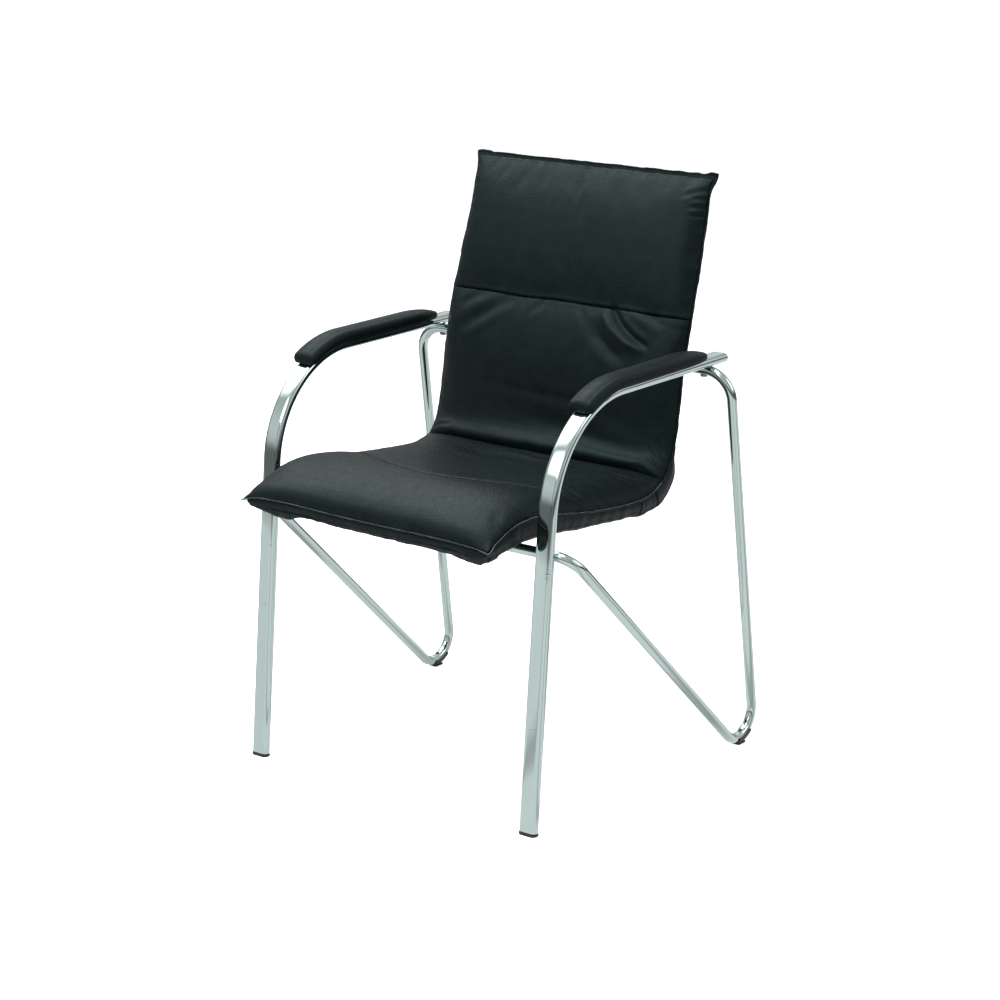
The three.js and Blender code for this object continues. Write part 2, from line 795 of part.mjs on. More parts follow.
// The flat plate of the clip, which stands on the floor
function footPad(frame) {
  const rearReach = (footBendRadius + loopRadius) * Math.sin(clipRearAngle) * clipPlateShare;
  const frontReach = (footBendRadius + loopRadius) * Math.sin(clipFrontAngle);
  const pad = new THREE.BoxGeometry(2 * loopRadius, frontReach + rearReach, 2 * clipFloor);
  pad.translate(frame.lowest.x, frame.lowest.y + (rearReach - frontReach) / 2, clipFloor);
  return pad;
}

function pinGeometry(sign) {
  const { point, away } = pinAxis(sign);
  const headSeat = point.clone().addScaledVector(away, -loopRadius - fit);
  const length = 2 * loopRadius + fit + clipWall - pinHead;
  const pin = headedPin({ radius: pinRadius, length, headRadius: pinHeadRadius, head: pinHead });
  return aim(pin, away, headSeat);
}

for (const [side, sign] of Object.entries(sides)) {
  addPart(`rear_foot_clip_${side}`, clipGeometry(sign), blackPlastic);
  addPart(`rear_foot_pin_${side}`, pinGeometry(sign), zincSteel);
}

// Cover on the underside and the back of the shell

// A length along the profile as a share of it
const seamShare = (length) => length / profileLength;
const wallShare = seamShare(coverEndWall);
const plyShare = seamShare(coverEndWall + plyEndGap);
const seatTo = creaseShare - seamShare(fit / 2);
const backFrom = creaseShare + seamShare(fit / 2);

// How far back a row of the seat's padding lies at the side seams, where it follows the bowed cross seam
function seatRowAt(share, x) {
  const seamRow = seatRowShares[seatSeamRow][0];
  const nearness = share < seamRow ? share / seamRow : (1 - share) / (1 - seamRow);
  return seatTo * (share + nearness * seatSeamBow * x * x);
}

const backRowAt = (share) => THREE.MathUtils.lerp(backFrom, 1, share);

// Every layer has its rings at the same places, so that neighbouring layers have parallel faces
const layerShares = [
  ...seatRowShares.slice(0, -1).map(([share]) => seatRowAt(share, 1)),
  creaseShare,
  ...backRowShares.slice(1).map(([share]) => backRowAt(share)),
  ...[wallShare, plyShare, 1 - plyShare, 1 - wallShare],
].sort((one, other) => one - other);

function stationsBetween(from, to) {
  return layerShares.filter((share) => share >= from && share <= to).map(profilePlace);
}

function coverOuterRing(place) {
  const bottom = place.half - coverTuck;
  const belly = place.half - coverTuck * coverBellyShare;
  return [
    bodyPoint(place, place.half, -seamSpace),
    bodyPoint(place, belly, -place.depth / 2),
    bodyPoint(place, bottom, -place.depth),
    bodyPoint(place, -bottom, -place.depth),
    bodyPoint(place, -belly, -place.depth / 2),
    bodyPoint(place, -place.half, -seamSpace),
  ];
}

function coverInnerRing(place) {
  const floor = coverSkin - place.depth;
  const bottom = place.half - coverTuck - coverWall;
  const belly = place.half - coverTuck * coverBellyShare - coverWall;
  return [
    bodyPoint(place, place.half - coverWall, seamSpace),
    bodyPoint(place, belly, -place.depth / 2),
    bodyPoint(place, bottom, floor),
    bodyPoint(place, -bottom, floor),
    bodyPoint(place, -belly, -place.depth / 2),
    bodyPoint(place, coverWall - place.half, seamSpace),
  ];
}

// The depth of the plywood's front face, measured from the tube that the shell is screwed to
const plyFace = (axis) => axis.reach + coverSkin + fit + plyThickness;

function mountHoles(radius) {
  return shellAxes.map((axis) => {
    const end = axis.start.clone().addScaledVector(axis.direction, plyFace(axis) + overrun);
    return rod(axis.start, end, radius);
  });
}

function shellCoverGeometry() {
  const outer = loft(stationsBetween(0, 1).map(coverOuterRing));
  const inner = loft(stationsBetween(wallShare, 1 - wallShare).map(coverInnerRing));
  return cut(outer, [inner, ...mountHoles(boltHole)]);
}

addPart('shell_cover', shellCoverGeometry(), leatherette);

// Bent plywood

function plyRing(place) {
  const low = coverSkin + fit - place.depth;
  const half = place.half - coverTuck - coverWall - fit - plySideGap;
  return [
    bodyPoint(place, half, low + plyThickness),
    bodyPoint(place, half, low),
    bodyPoint(place, -half, low),
    bodyPoint(place, -half, low + plyThickness),
  ];
}

// Where the underside of a tee nut's flange lies, and the recess for it in the plywood's front face
function nutFlangeSeat(axis) {
  return axis.start.clone().addScaledVector(axis.direction, plyFace(axis) - nutSink - nutFlange);
}

function nutRecess(axis) {
  const floor = nutFlangeSeat(axis).addScaledVector(axis.direction, -fit);
  const above = floor.clone().addScaledVector(axis.direction, nutFlange + overrun);
  return rod(floor, above, nutFlangeRadius + fit);
}

function plyShellGeometry() {
  const board = loft(stationsBetween(plyShare, 1 - plyShare).map(plyRing));
  const recesses = shellAxes.map(nutRecess);
  return cut(board, [...mountHoles(nutBarrelRadius + fit), ...recesses]);
}

addPart('plywood_shell', plyShellGeometry(), plywood);

// Foam inside the cover, on the seat's part of the plywood

function foamRing(place) {
  const low = coverSkin + fit + plyThickness + fit - place.depth;
  const bottom = place.half - coverTuck - coverWall - fit;
  const top = place.half - coverWall - flangeInset - fit;
  return [
    bodyPoint(place, top, seamSpace - fit),
    bodyPoint(place, bottom, low),
    bodyPoint(place, -bottom, low),
    bodyPoint(place, -top, seamSpace - fit),
  ];
}

function seatFoamGeometry() {
  const end = backRowAt(backRowShares[foamEndRow][0]);
  return loft(stationsBetween(plyShare, end).map(foamRing));
}

addPart('seat_foam', seatFoamGeometry(), foam);

// Padding with its crown, its drawn-in sides and its sewn channels

// One row of padding. placeAt gives the place on the profile for every x from one side seam to the other,
// and dish is the share of the crown that is missing in the middle.
function crownRing(placeAt, crown, dish, edgePower) {
  const top = Array.from({ length: crownColumns + 1 }, (_, column) => {
    const x = -Math.cos((Math.PI * column) / crownColumns);
    const place = profilePlace(placeAt(x));
    const fullness = (1 - dish * (1 - x * x) ** 2) * Math.sqrt(1 - Math.abs(x) ** edgePower);
    const rise = Math.max(0, crown - crownEdge) * fullness;
    return bodyPoint(place, x * place.half, seamSpace + crownEdge + rise);
  });
  const edge = profilePlace(placeAt(1));
  return [bodyPoint(edge, edge.half, seamSpace), bodyPoint(edge, -edge.half, seamSpace), ...top];
}

function seatCushionGeometry() {
  return loft(
    seatRowShares.map(([share, height, dish]) => {
      return crownRing((x) => seatRowAt(share, x), height * seatCrown, dish, seatEdgePower);
    }),
  );
}

function backCushionGeometry() {
  return loft(
    backRowShares.map(([share, height]) => {
      return crownRing(() => backRowAt(share), height * backCrown, 0, backEdgePower);
    }),
  );
}

addPart('seat_cushion', seatCushionGeometry(), leatherette);
addPart('back_cushion', backCushionGeometry(), leatherette);

// Seam flange around the whole outline, with an ear at each corner

function flangeStop(share, x, heading) {
  const place = profilePlace(share);
  const outward = acrossAxis.clone().multiplyScalar(x).addScaledVector(place.tangent, heading).normalize();
  const corner = Math.abs(x) === 1 && heading !== 0;
  return { place, x, outward, reach: corner ? earReach : flangeReach };
}

// The stops run along one end and then along the side that follows it. Each run begins at a corner.
function flangeStops() {
  const alongEnd = (share, from, heading) => {
    return Array.from({ length: flangeColumns }, (_, place) => {
      const x = from * (1 - (2 * place) / flangeColumns);
      return place === 0 ? flangeStop(share, x, heading) : { ...flangeStop(share, 0, heading), x };
    });
  };
  const alongSide = (shares, x, heading) => {
    return shares.slice(0, -1).map((share, place) => flangeStop(share, x, place === 0 ? heading : 0));
  };
  return [
    ...alongEnd(0, -1, -1),
    ...alongSide(layerShares, 1, -1),
    ...alongEnd(1, 1, 1),
    ...alongSide(layerShares.toReversed(), -1, 1),
  ];
}

function flangeRing({ place, x, outward, reach }) {
  const base = bodyPoint(place, x * place.half, 0);
  const half = flangeThickness / 2;
  const corner = (out, rise) => {
    return base.clone().addScaledVector(outward, out).addScaledVector(place.outward, rise);
  };
  return [corner(-flangeInset, -half), corner(-flangeInset, half), corner(reach, half), corner(reach, -half)];
}

function seamFlangeGeometry() {
  return loft(flangeStops().map(flangeRing), true);
}

addPart('seam_flange', seamFlangeGeometry(), leatherette);

// Saddles, screws and tee nuts that hold the shell on the loop

function saddleGeometry(axis, length) {
  const from = loopRadius - saddleWrap;
  const height = axis.clear - saddleSpace - from;
  const block = new THREE.BoxGeometry(length, 2 * saddleHalfWidth, height);
  block.translate(0, 0, from + height / 2);
  const grooveRadius = loopRadius + fit;
  const groove = new THREE.CylinderGeometry(grooveRadius, grooveRadius, length + overrun, 2 * screwSides);
  groove.rotateZ(Math.PI / 2);
  const hole = new THREE.CylinderGeometry(boltHole, boltHole, 2 * axis.reach, screwSides);
  hole.rotateX(Math.PI / 2);
  return aim(cut(block, [groove, hole]), axis.direction, axis.start);
}

function shellScrewGeometry(axis) {
  const headSeat = axis.start.clone().addScaledVector(axis.direction, -loopRadius - fit);
  const length = loopRadius + fit + plyFace(axis) - nutSink;
  const screw = headedPin({ radius: boltRadius, length, headRadius: boltHeadRadius, head: boltHead });
  return aim(screw, axis.direction, headSeat);
}

function teeNutGeometry(axis) {
  const barrel = plyThickness - nutSink - nutFlange;
  const profile = [
    [boltHole, -barrel],
    [nutBarrelRadius, -barrel],
    [nutBarrelRadius, 0],
    [nutFlangeRadius, 0],
    [nutFlangeRadius, nutFlange],
    [boltHole, nutFlange],
    [boltHole, -barrel],
  ];
  return aim(turned(profile), axis.direction, nutFlangeSeat(axis));
}

function addShellFastening(where, axis, saddleLength) {
  addPart(`${where}_saddle_${axis.side}`, saddleGeometry(axis, saddleLength), blackPlastic);
  addPart(`${where}_screw_${axis.side}`, shellScrewGeometry(axis), zincSteel);
  addPart(`${where}_tee_nut_${axis.side}`, teeNutGeometry(axis), zincSteel);
}

for (const axis of seatAxes) {
  addShellFastening('seat', axis, seatSaddleLength);
}
for (const axis of backAxes) {
  addShellFastening('back', axis, backSaddleLength);
}

// Bolts that hold the loop on the leg and arm tubes, and their threaded inserts

function frameBoltGeometry({ start, direction }) {
  const headSeat = start.clone().addScaledVector(direction, -loopRadius - fit);
  const length = 2 * loopRadius + fit + insertLength;
  const bolt = headedPin({ radius: boltRadius, length, headRadius: boltHeadRadius, head: boltHead });
  return aim(bolt, direction, headSeat);
}

function insertGeometry({ start, direction }) {
  const face = start.clone().addScaledVector(direction, loopRadius + fit);
  return aim(bush(insertRadius, boltHole, insertLength), direction, face);
}

for (const [side, sign] of Object.entries(sides)) {
  for (const [name, axis] of Object.entries({ leg: legBolt(sign), arm: armBolt(sign) })) {
    const here = placed(axis, sign);
    addPart(`${name}_bolt_${side}`, frameBoltGeometry(here), zincSteel);
    addPart(`${name}_bolt_insert_${side}`, insertGeometry(here), zincSteel);
  }
}

// Arm pads on their bases

const armFace = ovalThickness / 2; // from the arm's centre line to its upper face
const bendStations = Array.from({ length: armBendSteps + 1 }, (_, place) => {
  return (-armBendRadius * armTurn * place) / armBendSteps;
});

// Places along the arm from one distance to another, with the tube's own rings on the bend among them
function armStations(from, to, extra) {
  const inside = [...bendStations, ...extra].filter((distance) => distance > from && distance < to);
  return [from, ...inside.sort((one, other) => one - other), to];
}

function armPoint({ point, outward }, x, out) {
  const here = point.clone().addScaledVector(outward, out);
  here.x = x;
  return here;
}

function padRing(distance) {
  const tail = THREE.MathUtils.clamp((distance - padOnArm + padTailLength) / padTailLength, 0, 1);
  const front = THREE.MathUtils.clamp(1 - (distance + padFrontOnBend) / padFrontRounding, 0, 1);
  const frontLoss = padFrontRounding * (1 - Math.sqrt(1 - front * front));
  const taper = Math.sqrt(1 - tail ** padTailPower);
  const half = Math.max(padTipHalf, (padWidth / 2) * taper) - frontLoss;
  const drop = 1 - Math.sqrt(1 - tail * tail);
  const height = padHeight * THREE.MathUtils.lerp(1, padTailHeightShare, drop) - frontLoss;
  const place = armPlace(distance);
  const low = armFace + fit;
  const top = Array.from({ length: padColumns + 1 }, (_, column) => {
    const x = -Math.cos((Math.PI * column) / padColumns);
    const crown = Math.sqrt(1 - Math.abs(x) ** padCrownPower);
    return armPoint(place, x * half, low + height * (1 - padCrownShare + padCrownShare * crown));
  });
  return [armPoint(place, half, low), armPoint(place, -half, low), ...top];
}

// The base's own shape, or with a clearance the recess for it in the pad's underside
function baseLoft(clearance, low) {
  const from = baseSetback - padFrontOnBend - clearance;
  const to = padOnArm - baseTailSetback + clearance;
  const half = baseWidth / 2 + clearance;
  const high = armFace + baseThickness + clearance;
  const rings = armStations(from, to, []).map((distance) => {
    const place = armPlace(distance);
    const corners = [
      [half, low],
      [-half, low],
      [-half, high],
      [half, high],
    ];
    return corners.map(([x, out]) => armPoint(place, x, out));
  });
  return loft(rings);
}

function padGeometry() {
  const frontSteps = padFrontShares.map((share) => share * padFrontRounding - padFrontOnBend);
  const tailSteps = Array.from({ length: padTailSteps }, (_, place) => {
    return padOnArm - padTailLength * (1 - Math.sin((Math.PI / 2) * (place / padTailSteps)));
  });
  const stations = armStations(-padFrontOnBend, padOnArm, [...frontSteps, ...tailSteps]);
  return cut(loft(stations.map(padRing)), [baseLoft(fit, armFace - overrun)]);
}

function padBaseGeometry() {
  const holes = Object.values(padScrewPlaces).map((place) => {
    const { bottom, top } = padScrewAxis(place);
    top.z = armTop + padScrewBite + fit;
    return rod(bottom, top, padScrewHole);
  });
  return cut(baseLoft(0, armFace + fit), holes);
}

function padScrewGeometry(place) {
  const { bottom } = padScrewAxis(place);
  bottom.z -= fit;
  const length = fit + ovalThickness + padScrewBite;
  const sizes = { radius: padScrewRadius, length, headRadius: padScrewHeadRadius, head: padScrewHead };
  return aim(headedPin(sizes), risingAxis, bottom);
}

for (const [side, sign] of Object.entries(sides)) {
  const x = sign * armHalf;
  addPart(`arm_pad_${side}`, padGeometry(), leatherette).position.x = x;
  addPart(`arm_pad_base_${side}`, padBaseGeometry(), blackPlastic).position.x = x;
  for (const [where, place] of Object.entries(padScrewPlaces)) {
    addPart(`arm_pad_screw_${side}_${where}`, padScrewGeometry(place), zincSteel).position.x = x;
  }
}

chair.updateMatrixWorld(true);
const bounds = new THREE.Box3().setFromObject(chair);
chair.position.y = -(bounds.min.y + bounds.max.y) / 2;

export default chair;
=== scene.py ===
import math
from collections import namedtuple

import bpy
import numpy as np
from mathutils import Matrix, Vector


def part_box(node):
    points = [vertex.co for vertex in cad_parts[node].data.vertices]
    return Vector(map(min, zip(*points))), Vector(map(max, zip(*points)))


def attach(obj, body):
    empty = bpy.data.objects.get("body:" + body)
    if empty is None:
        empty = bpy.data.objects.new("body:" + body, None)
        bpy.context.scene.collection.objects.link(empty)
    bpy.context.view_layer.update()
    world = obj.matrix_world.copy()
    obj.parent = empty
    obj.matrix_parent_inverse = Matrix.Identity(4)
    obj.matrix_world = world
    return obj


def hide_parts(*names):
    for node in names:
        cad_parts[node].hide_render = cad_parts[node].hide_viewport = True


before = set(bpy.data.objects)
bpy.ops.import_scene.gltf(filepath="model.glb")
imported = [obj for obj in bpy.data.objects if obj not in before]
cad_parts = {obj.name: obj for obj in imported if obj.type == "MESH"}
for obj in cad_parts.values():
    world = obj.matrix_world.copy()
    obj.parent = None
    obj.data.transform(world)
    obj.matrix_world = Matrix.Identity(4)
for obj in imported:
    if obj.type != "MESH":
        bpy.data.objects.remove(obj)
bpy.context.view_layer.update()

# Sizes of the CAD model, in millimetres. Y is counted from the foot of the front legs.

FIT = 0.3
FRAME_SHIFT = -245.19
ARM_HALF = 265
OVAL_WIDTH = 30
OVAL_THICKNESS = 15
OVAL_CORNER = 7.2
OVAL_TUBE_CORNER = 6.6
OVAL_TUBE_CROWN = 0.35
SPIGOT_INSET = 1.8
LEG_LEAN = math.radians(5.2)
ARM_TOP = 639
ARM_BEND = 172
CAP_PLATE = 1.6
CAP_SPIGOT = 18
FOOT_COLLAR = 4
FOOT_RIM = 0.8
FOOT_SPIGOT = 22
LOOP_RADIUS = 8
STRUT_OUTSIDE = 37
FOOT_OUTSIDE = 48
CROSSBAR_OUTSIDE = 40
ARM_PAST_CROSSBAR = 33
FOOT_PAST_CROSSBAR = 37
CROSS_BELOW_BEND = 59.1
STRUT_BEND = 36
FOOT_BEND = 42
TOP_BEND = 45
CLIP_FLOOR = 3
CLIP_WALL = 2.4
CLIP_FRONT = math.radians(6)
CLIP_REAR = math.radians(38)
CLIP_HALF_TURN = math.radians(92)
CLIP_PLATE = 2.9
SEAM_FRONT_Y = -52
SEAT_LIFT = 438.01
RUN = 578
RISE = 470
SHELL_DEPTH = 37
BODY_HALF = 231
CREASE = 0.4865
SEAM_SPACE = 1.5
SEAT_CROWN = 32
BACK_CROWN = 28
CROWN_EDGE = 1.2
SEAM_BOW = 0.19
TOP_DROP = 2.0
COVER_SKIN = 1.8
COVER_WALL = 4
COVER_TUCK = 5
BOARD = 7
FLANGE_INSET = 5
SEAT_SCREW_HALF = 140
BACK_SCREW_HALF = 150
SEAT_SADDLE = 44
BACK_SADDLE = 36
SADDLE_HALF = 8.5
SADDLE_BITE = 3
SADDLE_GAP = 0.7
BOLT_INSET = 7.5
BOLT_GRIP = 9
PAD_WIDTH = 44
PAD_HEIGHT = 17.5
PAD_FRONT = 93
PAD_TAIL_GAP = 43.5
PAD_TAIL = 70
PAD_SCREW_FRONT = 40
PAD_SCREW_REAR = 52
BASE_WIDTH = 28
BASE_THICKNESS = 6

# How far the front seam is drawn up, in the second row, at the places across the chair in the first
FRONT_BOW = np.array(
    [
        [-231, -215, -187, -140, -93, -45, 0, 60, 120, 159, 200, 225, 231],
        [3.0, 8.0, 11.4, 12.4, 10.6, 8.8, 8.1, 8.0, 8.0, 7.4, 4.6, 1.0, 0.0],
    ]
)

# The seam line: shares of RUN and RISE, then the cover's depth and half width as shares of their full size
PROFILE = np.array(
    [
        [0, 0, 0.48, 1], [0.038, 0.023, 0.7, 0.995], [0.111, 0.053, 0.98, 0.995], [0.18, 0.06, 1, 1],
        [0.277, 0.045, 0.89, 1], [0.384, 0.019, 0.78, 1], [0.514, -0.004, 0.68, 1], [0.623, -0.015, 0.7, 1],
        [0.696, -0.013, 0.85, 1], [0.751, 0.011, 1.06, 1], [0.787, 0.049, 0.98, 1], [0.81, 0.1, 0.54, 1],
        [0.824, 0.164, 0.32, 1], [0.836, 0.238, 0.27, 1], [0.85, 0.345, 0.24, 1], [0.882, 0.504, 0.24, 1],
        [0.923, 0.664, 0.24, 0.99], [0.965, 0.834, 0.24, 0.975], [0.988, 0.95, 0.24, 0.97],
        [0.998, 0.987, 0.22, 0.985],
    ]
)

# The seat's padding: share of its length, height as a share of SEAT_CROWN, and how far it dishes
SEAT_ROWS = [
    [0, 0.04, 0], [0.012, 0.34, 0], [0.03, 0.58, 0], [0.06, 0.76, 0], [0.1, 0.875, 0], [0.15, 0.94, 0],
    [0.21, 0.985, 0.02], [0.26, 0.995, 0.06], [0.3, 0.985, 0.15], [0.33, 0.97, 0.25], [0.36, 1.0, 0.31],
    [0.42, 1.04, 0.37], [0.5, 1.08, 0.41], [0.6, 1.1, 0.42], [0.71, 1.1, 0.4], [0.8, 1.06, 0.34],
    [0.87, 0.97, 0.25], [0.93, 0.82, 0.13], [0.975, 0.61, 0.04], [1, 0.4, 0],
]
SEAT_SEAM = 0.33

# The back's padding: share of its length, and height as a share of BACK_CROWN. It doesn't dish.
BACK_ROWS = [
    [0, 0.5], [0.008, 0.72], [0.02, 0.87], [0.034, 0.91], [0.048, 0.88], [0.062, 0.81], [0.078, 0.725],
    [0.092, 0.685], [0.108, 0.665], [0.135, 0.665], [0.17, 0.695], [0.22, 0.77], [0.28, 0.845],
    [0.34, 0.89], [0.38, 0.9], [0.42, 0.885], [0.46, 0.84], [0.495, 0.775], [0.52, 0.705], [0.532, 0.655],
    [0.538, 0.61], [0.545, 0.64], [0.565, 0.72], [0.6, 0.825], [0.65, 0.925], [0.7, 0.98], [0.76, 0.985],
    [0.82, 0.93], [0.87, 0.82], [0.91, 0.68], [0.945, 0.5], [0.972, 0.32], [1, 0.06],
]
BACK_SEAM = 0.538
FOAM_END = 0.135

arm_centre = ARM_TOP - OVAL_THICKNESS / 2
arm_turn = math.pi / 2 - LEG_LEAN
bend_reach = ARM_BEND * math.tan(arm_turn / 2)


def leg_y(height):
    return height * math.tan(LEG_LEAN)


arm_start = leg_y(arm_centre) + bend_reach
cross_z = arm_centre - bend_reach * math.cos(LEG_LEAN) - CROSS_BELOW_BEND
cross_y = leg_y(cross_z) + OVAL_THICKNESS / 2 / math.cos(LEG_LEAN) + LOOP_RADIUS + FIT
crossbar_z = ARM_TOP - OVAL_THICKNESS - LOOP_RADIUS - FIT

# The CAD model works out the crossbar's place itself. It is read from the bolt through its middle.
arm_bolt_low, arm_bolt_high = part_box("arm_bolt_left")
crossbar_y = (arm_bolt_low.y + arm_bolt_high.y) * 500 - FRAME_SHIFT
arm_end = crossbar_y + ARM_PAST_CROSSBAR
rear_foot_y = crossbar_y + FOOT_PAST_CROSSBAR
pad_on_arm = arm_end - arm_start - PAD_TAIL_GAP


# Meshes


def make(name, points, faces, material, smooth=True, sharp=None):
    """A mesh object from points in millimetres, counted as the CAD model counts them."""
    points = np.asarray(points, dtype=float).reshape(-1, 3) + [0, FRAME_SHIFT, 0]
    name = "look_" + name.replace(" ", "_")
    mesh = bpy.data.meshes.new(name)
    mesh.from_pydata((points / 1000).tolist(), [], faces)
    mesh.validate()
    mesh.polygons.foreach_set("use_smooth", [smooth] * len(mesh.polygons))
    if sharp is not None:
        mesh.set_sharp_from_angle(angle=math.radians(sharp))
    mesh.update()
    piece = bpy.data.objects.new(name, mesh)
    bpy.context.scene.collection.objects.link(piece)
    mesh.materials.append(material)
    return piece


def skin_faces(rows, count, endless=False, ends=True, start=0):
    """Faces of a skin over rings that each hold the same number of points."""
    spans = rows if endless else rows - 1
    row = np.arange(spans)[:, None] * count
    ahead = ((np.arange(spans) + 1) % rows)[:, None] * count
    place = np.arange(count)[None]
    after = (place + 1) % count
    quads = np.stack([row + place, row + after, ahead + after, ahead + place], axis=-1)
    faces = (quads.reshape(-1, 4) + start).tolist()
    if ends and not endless:
        faces.append([start + k for k in range(count - 1, -1, -1)])
        last = start + (rows - 1) * count
        faces.append([last + k for k in range(count)])
    return faces


def skin(name, rings, material, endless=False, ends=True, sharp=None):
    rings = np.asarray(rings, dtype=float)
    rows, count = rings.shape[:2]
    return make(name, rings, skin_faces(rows, count, endless, ends), material, sharp=sharp)


def merged(name, parts, material, sharp=None):
    """One piece from several (rings, endless) skins."""
    points, faces, start = [], [], 0
    for rings, endless in parts:
        rings = np.asarray(rings, dtype=float)
        faces += skin_faces(rings.shape[0], rings.shape[1], endless, True, start)
        points.append(rings.reshape(-1, 3))
        start += rings.shape[0] * rings.shape[1]
    return make(name, np.concatenate(points), faces, material, sharp=sharp)


def ride(piece, *nodes):
    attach(piece, "root")
    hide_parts(*nodes)
    return piece


# Materials


def add_node(tree, kind, inputs=None, **settings):
    """A shader node. Each of its inputs that is named takes a value, or a link from another node's output."""
    made = tree.nodes.new(kind)
    for key, value in settings.items():
        setattr(made, key, value)
    for key, value in (inputs or {}).items():
        if isinstance(value, bpy.types.NodeSocket):
            tree.links.new(value, made.inputs[key])
        else:
            made.inputs[key].default_value = value
    return made


def add_ramp(tree, source, stops, interpolation="LINEAR"):
    """A colour ramp through (place, colour) stops."""
    ramp = add_node(tree, "ShaderNodeValToRGB", {"Fac": source})
    ramp.color_ramp.interpolation = interpolation
    elements = ramp.color_ramp.elements
    while len(elements) < len(stops):
        elements.new(0.5)
    for element, (place, colour) in zip(elements, stops):
        element.position = place
        element.color = (*colour, 1)
    return ramp.outputs["Color"]


def greys(table):
    """Stops of a ramp from (place, grey level) pairs."""
    return [(place, (level, level, level)) for place, level in table]


class Shader:
    """A Principled material and short ways to add the textures that drive it."""

    def __init__(self, name, colour, roughness, metallic=0.0):
        self.material = bpy.data.materials.new(name)
        self.material.use_nodes = True
        self.tree = self.material.node_tree
        self.body = self.tree.nodes["Principled BSDF"]
        self.body.inputs["Base Color"].default_value = (*colour, 1)
        self.body.inputs["Roughness"].default_value = roughness
        self.body.inputs["Metallic"].default_value = metallic
        self.place = add_node(self.tree, "ShaderNodeTexCoord").outputs["Object"]

    def noise(self, scale, detail=2.0, stretch=None):
        place = self.place
        if stretch is not None:
            mapping = add_node(self.tree, "ShaderNodeMapping", {"Vector": place, "Scale": stretch})
            place = mapping.outputs["Vector"]
        inputs = {"Vector": place, "Scale": scale, "Detail": detail}
        return add_node(self.tree, "ShaderNodeTexNoise", inputs).outputs["Fac"]

    def cells(self, scale):
        inputs = {"Vector": self.place, "Scale": scale, "Smoothness": 0.35}
        return add_node(self.tree, "ShaderNodeTexVoronoi", inputs, feature="SMOOTH_F1").outputs["Distance"]

    def spread(self, source, low, high, from_low=0.3, from_high=0.7):
        """The source carried from its own range to low and high."""
        inputs = {"Value": source, "From Min": from_low, "From Max": from_high, "To Min": low, "To Max": high}
        return add_node(self.tree, "ShaderNodeMapRange", inputs).outputs["Result"]

    def bump(self, source, strength, distance, under=None):
        inputs = {"Height": source, "Strength": strength, "Distance": distance}
        if under is not None:
            inputs["Normal"] = under
        return add_node(self.tree, "ShaderNodeBump", inputs).outputs["Normal"]

    def drive(self, socket, source):
        self.tree.links.new(source, self.body.inputs[socket])

    def shade(self, source, dark, light, from_low=0.3, from_high=0.7):
        """Drives the colour from dark to light by the source."""
        self.drive("Base Color", add_ramp(self.tree, source, [(from_low, dark), (from_high, light)]))

    def roughen(self, source, low, high):
        self.drive("Roughness", self.spread(source, low, high))


def leather(name, dark, light, roughness, grain=0.4, tint=(0.62, 1, 1, 1)):
    shader = Shader(name, dark, roughness)
    shader.body.inputs["Specular IOR Level"].default_value = 0.1
    shader.body.inputs["Specular Tint"].default_value = tint
    shader.shade(shader.noise(38, 3), dark, light, 0.35, 0.68)
    shader.roughen(shader.noise(90, 3), roughness - 0.05, roughness + 0.06)
    coarse = shader.bump(shader.cells(580), grain * 1.2, 0.001)
    fine = shader.bump(shader.noise(1500, 2), grain, 0.0003, coarse)
    shader.drive("Normal", fine)
    return shader.material


def polished(name, colour, roughness):
    shader = Shader(name, colour, roughness, 1.0)
    shader.roughen(shader.noise(14, 3), roughness - 0.012, roughness + 0.02)
    wave = shader.bump(shader.noise(9, 2), 0.35, 0.0016)
    marks = shader.spread(shader.noise(47, 1, (0.5, 0.5, 2.2)), 0, 0.6, 0.71, 0.82)
    shader.drive("Normal", shader.bump(marks, 0.5, 0.00025, wave))
    return shader.material


def moulded(name, dark, light, roughness):
    shader = Shader(name, dark, roughness)
    shader.shade(shader.noise(60, 2), dark, light)
    shader.drive("Normal", shader.bump(shader.noise(1800, 2), 0.12, 0.0003))
    return shader.material


def plated(name, dark, light, roughness):
    shader = Shader(name, dark, roughness, 1.0)
    shader.shade(shader.noise(120, 3), dark, light)
    shader.roughen(shader.noise(300, 2), roughness - 0.06, roughness + 0.08)
    return shader.material


def timber(name, dark, light):
    shader = Shader(name, dark, 0.6)
    grain = shader.noise(30, 6, (9, 1, 9))
    shader.shade(grain, dark, light)
    shader.drive("Normal", shader.bump(grain, 0.2, 0.0005))
    return shader.material


def sponge(name, dark, light):
    shader = Shader(name, dark, 0.95)
    holes = shader.cells(500)
    shader.shade(holes, dark, light, 0.1, 0.6)
    shader.drive("Normal", shader.bump(holes, 0.4, 0.001))
    return shader.material


WHITE = (1, 1, 1, 1)
chrome = polished("chrome", (0.51, 0.61, 0.595), 0.03)
hide = leather("leatherette", (0.0043, 0.0077, 0.0086), (0.006, 0.0102, 0.0113), 0.38)
pad_hide = leather("pad leatherette", (0.0049, 0.0082, 0.0091), (0.0066, 0.0106, 0.0116), 0.46, 0.2)
thread = leather("thread", (0.016, 0.022, 0.024), (0.024, 0.031, 0.033), 0.6, 0.1, WHITE)
# Real stitching. Its light grey is a painted highlight of the light line where the seat lip's edge catches
# the light. The back's lip keeps the dark thread.
highlight_painted_thread = leather("thread with painted highlight", (0.2, 0.235, 0.235), (0.3, 0.34, 0.34), 0.6, 0.1, WHITE)

